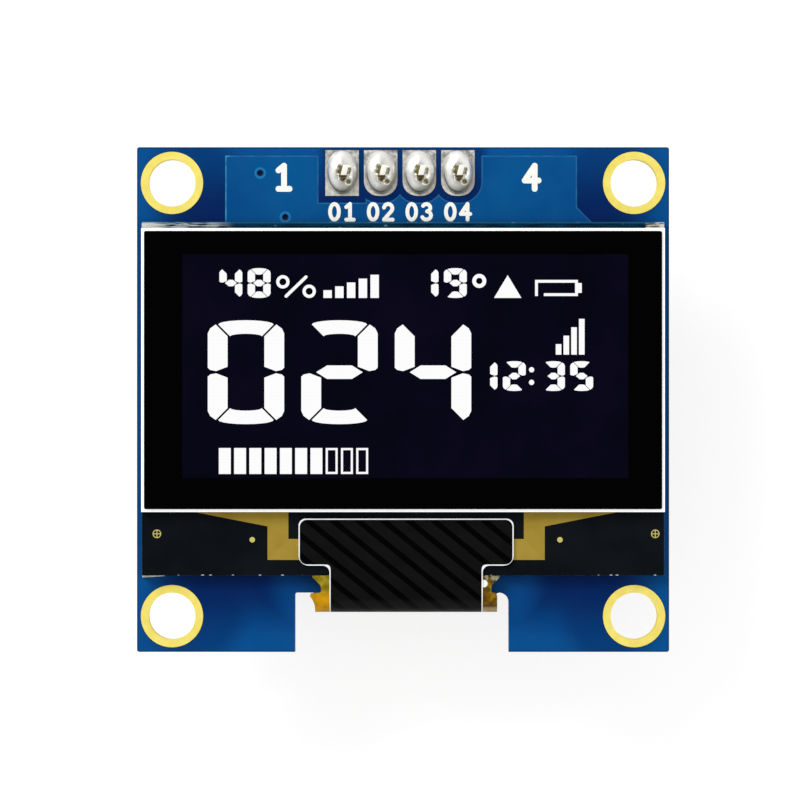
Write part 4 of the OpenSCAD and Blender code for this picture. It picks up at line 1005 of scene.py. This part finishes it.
def make_ledge():
    material, tree, where = finish("gold traces")
    colour = mix(tree, use(tree, patches, Vector=where, Size=1.5 * MM), tone(160, 133, 46), tone(168, 142, 54))
    x = calc(tree, "ABSOLUTE", calc(tree, "SUBTRACT", axes(tree, where)[0], (cover_low.x + cover_high.x) / 2))
    y = axes(tree, where)[1]
    corner = calc(tree, "ADD", calc(tree, "SUBTRACT", x, BAND_OUTER), calc(tree, "SUBTRACT", y, cover_high.y - BAND_STEP))
    level = span(tree, corner, 0.01 * MM, -0.01 * MM)
    lying = use(tree, stripes, Vector=where, Across=(0, 1, 0), Pitch=0.11 * MM, Width=0.035 * MM)
    standing = use(tree, stripes, Vector=where, Across=(1, 0, 0), Pitch=0.11 * MM, Width=0.035 * MM)
    lines = calc(tree, "ADD", calc(tree, "MULTIPLY", lying, level), calc(tree, "MULTIPLY", standing, calc(tree, "SUBTRACT", 1.0, level)))
    colour = mix(tree, calc(tree, "MULTIPLY", level, 0.22), colour, tone(182, 156, 70))
    colour = mix(tree, calc(tree, "MULTIPLY", lines, 0.16), colour, tone(110, 90, 26))
    marks = span(tree, calc(tree, "SUBTRACT", x, BAND_OUTER), 0.5 * MM, 0.6 * MM)
    low = span(tree, y, front_low.y - 1.0 * MM, front_low.y - 1.1 * MM)
    colour = mix(tree, calc(tree, "MULTIPLY", marks, low), colour, tone(204, 192, 112))
    surface(tree, lines, 0.2, 0.003 * MM, Base_Color=colour, Metallic=0.06, Roughness=rough(tree, where, MM, 0.4, 0.5),
            Specular_IOR_Level=0.1)
    dress_nodes(material, "ledge_traces")
    material, tree, where = finish("bare silicon")
    colour = mix(tree, use(tree, patches, Vector=where, Size=0.5 * MM), tone(52, 54, 60), tone(84, 86, 94))
    surface(tree, Base_Color=colour, Metallic=0.5, Roughness=rough(tree, where, 0.4 * MM, 0.15, 0.3))
    dress_nodes(material, "driver_chip")


make_ledge()

# %% [markdown]
# ## Black cover over the flexible circuit
# The cover is black film printed with darker diagonal bands, and a pale line follows its outline. Its
# solid already has the T shape, the fold and the grooves of the bands. The pale line is found from
# the depth inside the head and the neck, joined softly at their inner corners.


# %% Black cover
COVER_ANGLE = math.radians(39)
BAND_PITCH, BAND_WIDTH, PALE_LINE = 1.04 * MM, 0.36 * MM, 0.085 * MM


def rounded_reach(tree, where, centre, half, radius):
    """Depth inside a rectangle with round corners, seen from above."""
    off = add(tree, "ShaderNodeVectorMath", {0: shift(tree, "SUBTRACT", where, centre)}, operation="ABSOLUTE").outputs[0]
    parts = axes(tree, shift(tree, "SUBTRACT", off, (half[0] - radius, half[1] - radius, 0)))
    over = add(tree, "ShaderNodeCombineXYZ", {0: calc(tree, "MAXIMUM", parts[0], 0.0), 1: calc(tree, "MAXIMUM", parts[1], 0.0)})
    outside = add(tree, "ShaderNodeVectorMath", {0: over.outputs[0]}, operation="LENGTH").outputs["Value"]
    inside = calc(tree, "MINIMUM", calc(tree, "MAXIMUM", parts[0], parts[1]), 0.0)
    return calc(tree, "SUBTRACT", radius, calc(tree, "ADD", outside, inside))


def make_cover():
    material, tree, where = finish("black cover film")
    mid_x = (cover_low.x + cover_high.x) / 2
    shoulder = cover_high.y - 3.08 * MM
    head = rounded_reach(tree, where, (mid_x, (cover_high.y + shoulder) / 2, 0),
                         ((cover_high.x - cover_low.x) / 2, (cover_high.y - shoulder) / 2), 0.55 * MM)
    neck = rounded_reach(tree, where, (mid_x, shoulder - 8 * MM, 0), (5.025 * MM, 10 * MM), 0.1 * MM)
    depth = calc(tree, "SMOOTH_MAX", head, neck, 0.5 * MM)
    normal = (math.sin(COVER_ANGLE), math.cos(COVER_ANGLE), 0)
    flat = shift(tree, "SUBTRACT", where, (mid_x, cover_high.y, 0))
    bands = use(tree, stripes, Vector=flat, Across=normal, Pitch=BAND_PITCH, Width=BAND_WIDTH)
    film = mix(tree, use(tree, patches, Vector=where, Size=1.2 * MM), tone(15, 16, 15), tone(18, 19, 18))
    film = mix(tree, bands, film, tone(0, 0, 0))
    pale = mix(tree, use(tree, patches, Vector=where, Size=0.4 * MM), tone(240, 240, 242), tone(255, 255, 255))
    colour = mix(tree, span(tree, depth, PALE_LINE, 0.7 * PALE_LINE), film, pale)
    grain = use(tree, patches, Vector=where, Size=0.08 * MM)
    surface(tree, grain, 0.15, 0.002 * MM, Base_Color=colour, Roughness=rough(tree, where, MM, 0.28, 0.36),
            Specular_IOR_Level=0.06)
    return material


black_cover = make_cover()
cover = from_node("flex_cover", "cover_film")
bpy.ops.object.shade_smooth_by_angle(angle=math.radians(20))
complete(cover, "black_coverlay", ["flex_cover"], black_cover)

# %% [markdown]
# ## Flexible circuit
# The flexible circuit is amber film with copper inside. It leaves the glass, narrows to a waist,
# widens where it folds round the board's edge, and spreads behind the board to its soldered tail.
# A strip is laid out flat, its end is spun round the fold, and the back is extruded. Then each row
# of corners is widened or narrowed to the real outline, and the strip is given its thickness.


# %% Amber film
def make_amber():
    material, tree, where = finish("amber film")
    parts = axes(tree, where)
    cloud = use(tree, patches, Vector=where, Size=0.5 * MM)
    bright = mix(tree, cloud, tone(184, 132, 0), tone(214, 156, 0))
    olive = mix(tree, cloud, tone(122, 106, 8), tone(172, 150, 36))
    brown = mix(tree, cloud, tone(58, 38, 2), tone(108, 76, 8))
    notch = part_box("flex_cover")[0].y + 1.24 * MM
    colour = mix(tree, span(tree, parts[1], notch - 0.25 * MM, notch + 0.35 * MM), bright, olive)
    right = span(tree, parts[0], 2 * MM, 4 * MM)
    stain = calc(tree, "MULTIPLY", use(tree, patches, Vector=where, Size=0.7 * MM, Low=0.3, High=0.5), right)
    colour = mix(tree, calc(tree, "MULTIPLY", stain, 0.9), colour, brown)
    # Painted highlight: a pale band along the outer curve of the fold, right of the middle.
    lip = calc(tree, "MULTIPLY", span(tree, parts[1], flex_low.y + 0.34 * MM, flex_low.y + 0.16 * MM), right)
    colour = mix(tree, calc(tree, "MULTIPLY", lip, 0.5), colour, tone(210, 186, 140))
    wisp = use(tree, patches, Vector=where, Size=0.35 * MM, Low=0.5, High=0.62)
    # A small round white spot on the right wing, just below the rear glass.
    white_spot = use(tree, ring, Vector=where, Centre=((cover_low.x + cover_high.x) / 2 + 5.1 * MM, rear_low.y - 0.52 * MM, 0))
    colour = mix(tree, span(tree, white_spot, 0.27 * MM, 0.22 * MM), colour, tone(252, 252, 246))
    glass_side = calc(tree, "MULTIPLY", span(tree, parts[1], rear_low.y - 0.5 * MM, rear_low.y - 0.3 * MM), wisp)
    colour = mix(tree, calc(tree, "MULTIPLY", glass_side, 0.4), colour, tone(204, 206, 176))
    lines = use(tree, stripes, Vector=where, Across=(1, 0, 0), Pitch=0.6 * MM, Width=0.32 * MM)
    back = span(tree, parts[2], 0.5 * MM, 0.2 * MM)
    colour = mix(tree, calc(tree, "MULTIPLY", calc(tree, "MULTIPLY", lines, back), 0.45), colour, tone(150, 84, 8))
    surface(tree, lines, 0.15, 0.006 * MM, Base_Color=colour, Roughness=rough(tree, where, 0.6 * MM, 0.24, 0.36),
            Specular_IOR_Level=0.12)
    return material


# %% Flexible circuit
FOLD_HALF = 5.98    # half width of the strip round its fold, in mm
LEFT_FLARE = 0.34 * MM    # how much further its left edge reaches where the fold starts


def make_flex():
    thickness = 0.1 * MM
    mid_x = (flex_low.x + flex_high.x) / 2
    top_z = flex_high.z - thickness / 2
    radius = (flex_high.z - flex_low.z) / 2 - thickness / 2
    fold_y = flex_low.y + radius + thickness / 2 - 0.1 * MM
    edge_y = rear_low.y
    front = [(flex_high.y, 6.75), (edge_y + 0.87 * MM, 6.75), (edge_y + 0.85 * MM, 4.88), (edge_y + 0.01 * MM, 4.88),
             (edge_y, 6.15), (edge_y - 0.12 * MM, 6.14), (edge_y - 0.34 * MM, 5.92), (edge_y - 0.58 * MM, 5.68),
             (edge_y - 0.72 * MM, 5.6), (edge_y - 1.04 * MM, 5.58), (edge_y - 1.12 * MM, 5.66), (edge_y - 1.16 * MM, 5.92),
             (fold_y, FOLD_HALF)]
    let_go()
    bpy.ops.mesh.primitive_plane_add(size=1, location=(mid_x, 0, 0))
    piece = bpy.context.object
    piece.name = piece.data.name = "flexible_circuit"
    bpy.ops.object.transform_apply(location=True, rotation=True, scale=True)

    def row(test, y, z, half):
        """Moves the picked row of corners to its place and width."""
        pick("VERT", test)
        mesh = bmesh.from_edit_mesh(piece.data)
        chosen = [v for v in mesh.verts if v.select]
        centre = sum((v.co for v in chosen), Vector()) / len(chosen)
        wide = max(v.co.x for v in chosen) - min(v.co.x for v in chosen)
        bpy.ops.transform.translate(value=(0, y - centre.y, z - centre.z))
        bpy.ops.transform.resize(value=(2 * half / wide, 1, 1), center_override=(mid_x, y, z))

    row(lambda v: v.co.y > 0, front[0][0], top_z, front[0][1] * MM)
    row(lambda v: v.co.y < -0.4, front[1][0], top_z, front[1][1] * MM)
    for y, half in front[2:]:
        lowest = min(v.co.y for v in bmesh.from_edit_mesh(piece.data).verts)
        pick("VERT", lambda v: v.co.y < lowest + 0.001 * MM)
        bpy.ops.mesh.extrude_region_move(TRANSFORM_OT_translate={"value": (0, y - lowest, 0)})
        mesh = bmesh.from_edit_mesh(piece.data)
        wide = max(v.co.x for v in mesh.verts if v.select) - min(v.co.x for v in mesh.verts if v.select)
        bpy.ops.transform.resize(value=(2 * half * MM / wide, 1, 1), center_override=(mid_x, y, top_z))
    steps = 28
    centre = (mid_x, fold_y, top_z - radius)
    pick("VERT", lambda v: v.co.y < fold_y + 0.001 * MM)
    bpy.ops.mesh.spin(steps=steps, angle=-math.pi, center=centre, axis=(1, 0, 0))
    low_z = top_z - 2 * radius
    for step in range(1, steps + 1):
        turn = math.pi * step / steps
        y, z = fold_y - radius * math.sin(turn), centre[2] + radius * math.cos(turn)
        flare = max(0.0, 1 - (fold_y - y) / (0.8 * MM)) if turn < math.pi / 2 else 0.0
        pick("VERT", lambda v: abs(v.co.y - y) < 0.002 * MM and abs(v.co.z - z) < 0.002 * MM and v.co.x < mid_x)
        bpy.ops.transform.translate(value=(-LEFT_FLARE * flare ** 2, 0, 0))
    for y in (fold_y, edge_y - 1.16 * MM):
        pick("VERT", lambda v: abs(v.co.y - y) < 0.002 * MM and v.co.z > centre[2] and v.co.x < mid_x)
        bpy.ops.transform.translate(value=(-LEFT_FLARE, 0, 0))
    pick("VERT", lambda v: abs(v.co.y - fold_y) < 0.01 * MM and v.co.z < low_z + 0.01 * MM)
    back = [(fold_y + 0.08 * MM, FOLD_HALF), (fold_y + 0.3 * MM, 6.6), (fold_y + 1.2 * MM, 9.2), (fold_y + 1.34 * MM, 9.45),
            (fold_y + 1.5 * MM, 9.5), (flex_box_back - 0.2 * MM, 9.5), (flex_box_back - 0.05 * MM, 9.45), (flex_box_back, 9.3)]
    last = fold_y
    for y, half in back:
        bpy.ops.mesh.extrude_region_move(TRANSFORM_OT_translate={"value": (0, y - last, 0)})
        mesh = bmesh.from_edit_mesh(piece.data)
        wide = max(v.co.x for v in mesh.verts if v.select) - min(v.co.x for v in mesh.verts if v.select)
        bpy.ops.transform.resize(value=(2 * half * MM / wide, 1, 1), center_override=(mid_x, y, low_z))
        last = y
    bpy.ops.mesh.select_all(action="SELECT")
    bpy.ops.mesh.remove_doubles(threshold=0.0005 * MM)
    bpy.ops.mesh.normals_make_consistent(inside=False)
    modify("SOLIDIFY", thickness=thickness, offset=0)
    bpy.ops.object.shade_smooth_by_angle(angle=math.radians(35))
    complete(piece, "amber_film", ["flex_circuit"], make_amber())


flex_box_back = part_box("flex_solder")[1].y - 1.0 * MM
make_flex()

# %% [markdown]
# ## Parts on the back
# Chip resistors are flat ceramic slabs with a black glaze and metal ends, and chip capacitors are
# taller tan blocks. One of each is built from a body and two end caps, then copied and turned to the
# place of each solid. The diode and the regulator are moulded bodies with slanted sides and bent
# leads.


# %% Ceramic materials
def make_ceramic():
    white, tree, where = finish("resistor body")
    glaze_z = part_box("resistor_1")[0].z + 0.06 * MM
    glaze = span(tree, axes(tree, where)[2], glaze_z + 0.02 * MM, glaze_z)
    body = mix(tree, use(tree, patches, Vector=where, Size=0.2 * MM), tone(208, 206, 198), tone(234, 232, 226))
    black = mix(tree, use(tree, patches, Vector=where, Size=0.3 * MM), tone(18, 19, 21), tone(36, 37, 40))
    surface(tree, use(tree, patches, Vector=where, Size=0.08 * MM), 0.3, 0.006 * MM, Base_Color=mix(tree, glaze, body, black),
            Roughness=rough(tree, where, 0.3 * MM, 0.3, 0.5))
    tan, tree, where = finish("capacitor body")
    body = mix(tree, use(tree, patches, Vector=where, Size=0.2 * MM), tone(150, 116, 78), tone(182, 146, 102))
    surface(tree, use(tree, patches, Vector=where, Size=0.08 * MM), 0.3, 0.006 * MM, Base_Color=body,
            Roughness=rough(tree, where, 0.3 * MM, 0.35, 0.55))
    return white, tan


resistor_body, capacitor_body = make_ceramic()
part_plastic = make_plastic("moulded body", tone(20, 21, 23), tone(38, 39, 42), 0.4, 0.55)


# %% Chip parts
def join(pieces):
    """Joins pieces into the first one, with its materials and theirs."""
    let_go()
    for piece in pieces:
        piece.select_set(True)
    bpy.context.view_layer.objects.active = pieces[0]
    bpy.ops.object.join()
    return pieces[0]


def chip_part(name, length, width, height, cap, body_material, recess):
    """A chip part along X at the origin, hanging down from z = 0."""
    body = block(name, (-length / 2 + cap / 2, -width / 2 + 0.03 * MM, -height + 0.03 * MM),
                 (length / 2 - cap / 2, width / 2 - 0.03 * MM, -0.02 * MM))
    pick("FACE", faces_down)
    bpy.ops.mesh.inset(thickness=0.06 * MM, depth=-recess)
    soften(0.02 * MM)
    body.data.materials.append(body_material)
    ends = []
    for side in (-1, 1):
        x = sorted((side * length / 2, side * (length / 2 - cap)))
        end = block("end", (x[0], -width / 2, -height), (x[1], width / 2, 0))
        soften(0.05 * MM, 3)
        end.data.materials.append(solder)
        ends.append(end)
    return join([body] + ends)


def place_copies(master, nodes, slot, top):
    """Copies a chip part to each node, turned where the node's box stands upright."""
    for node in nodes:
        low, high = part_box(node)
        piece = master.copy()
        piece.data = master.data.copy()
        piece.name = piece.data.name = "chip_" + node
        bpy.context.scene.collection.objects.link(piece)
        take(piece)
        if high.y - low.y > high.x - low.x:
            piece.rotation_euler.z = math.pi / 2
        piece.location = ((low.x + high.x) / 2, (low.y + high.y) / 2, high.z)
        bpy.ops.object.transform_apply(location=True, rotation=True, scale=True)
        complete(piece, slot, [node])
    bpy.data.objects.remove(master)


def make_chip_parts():
    for name, count, material, slot, recess in (("resistor", 5, resistor_body, "resistor_body", -0.015 * MM),
                                                ("capacitor", 7, capacitor_body, "capacitor_body", 0.0)):
        low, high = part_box(f"{name}_1")
        sizes = sorted((high.x - low.x, high.y - low.y))
        master = chip_part(name + "_master", sizes[1], sizes[0], high.z - low.z, 0.3 * MM, material, recess)
        place_copies(master, numbered(name, count), slot, high.z)


make_chip_parts()


# %% Diode and regulator
def strip_lead(name, start, riser, depth, reach_in, width, thickness):
    """A bent strip lead along +X: foot on the land, riser, and a stub into the body at x = 0."""
    let_go()
    bpy.ops.mesh.primitive_plane_add(size=1, location=(0, 0, 0))
    piece = bpy.context.object
    piece.name = piece.data.name = name
    piece.scale = (start - riser, width, 1)
    piece.location = ((start + riser) / 2, 0, -thickness / 2)
    bpy.ops.object.transform_apply(location=True, rotation=True, scale=True)
    moves = [(-0.12 * MM, 0, -0.1 * MM), (-0.04 * MM, 0, -(depth - 0.2 * MM)), (-0.12 * MM, 0, -0.1 * MM), (-reach_in, 0, 0)]
    pick("VERT", lambda v: v.co.x < riser + 0.001 * MM)
    for move in moves:
        bpy.ops.mesh.extrude_region_move(TRANSFORM_OT_translate={"value": move})
    bpy.ops.mesh.select_all(action="SELECT")
    bpy.ops.mesh.normals_make_consistent(inside=False)
    modify("SOLIDIFY", thickness=thickness, offset=0)
    soften(0.02 * MM)
    piece.data.materials.append(solder)
    return piece


def moulded_part(node, body_size, leads, lead_width, reach, turn):
    """A moulded body with slanted sides, and leads given as places along it and sides."""
    low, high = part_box(node)
    length, width, height = (value * MM for value in body_size)
    body = block("moulded_" + node, (-length / 2, -width / 2, -height), (length / 2, width / 2, -0.05 * MM))
    bpy.ops.object.mode_set(mode="EDIT")
    bpy.ops.mesh.select_all(action="SELECT")
    bpy.ops.mesh.bisect(plane_co=(0, 0, -height / 2), plane_no=(0, 0, 1))
    for level in (-height, -0.05 * MM):
        pick("VERT", lambda v: abs(v.co.z - level) < 0.001 * MM)
        bpy.ops.transform.resize(value=(1 - 0.12 * MM / length, 1 - 0.12 * MM / width, 1), center_override=(0, 0, 0))
    soften(0.04 * MM)
    body.data.materials.append(part_plastic)
    pieces = [body]
    for x, y, angle in leads:
        foot = reach * MM
        lead = strip_lead("lead", foot, foot * 0.45, height / 2 - 0.1 * MM, 0.1 * MM, lead_width * MM, 0.13 * MM)
        lead.rotation_euler.z = math.radians(angle)
        lead.location = (x * MM, y * MM, 0)
        take(lead)
        bpy.ops.object.transform_apply(location=True, rotation=True, scale=True)
        pieces.append(lead)
    whole = join(pieces)
    whole.rotation_euler.z = math.radians(turn)
    whole.location = ((low.x + high.x) / 2, (low.y + high.y) / 2, high.z)
    take(whole)
    bpy.ops.object.transform_apply(location=True, rotation=True, scale=True)
    complete(whole, "part_plastic", [node])


moulded_part("diode", (1.7, 1.25, 0.9), [(0.85, 0, 0), (-0.85, 0, 180)], 0.35, 0.4, 0)
moulded_part("regulator", (2.9, 1.4, 1.0), [(-0.95, -0.7, -90), (0.95, -0.7, -90), (0, 0.7, 90)], 0.4, 0.55, 90)
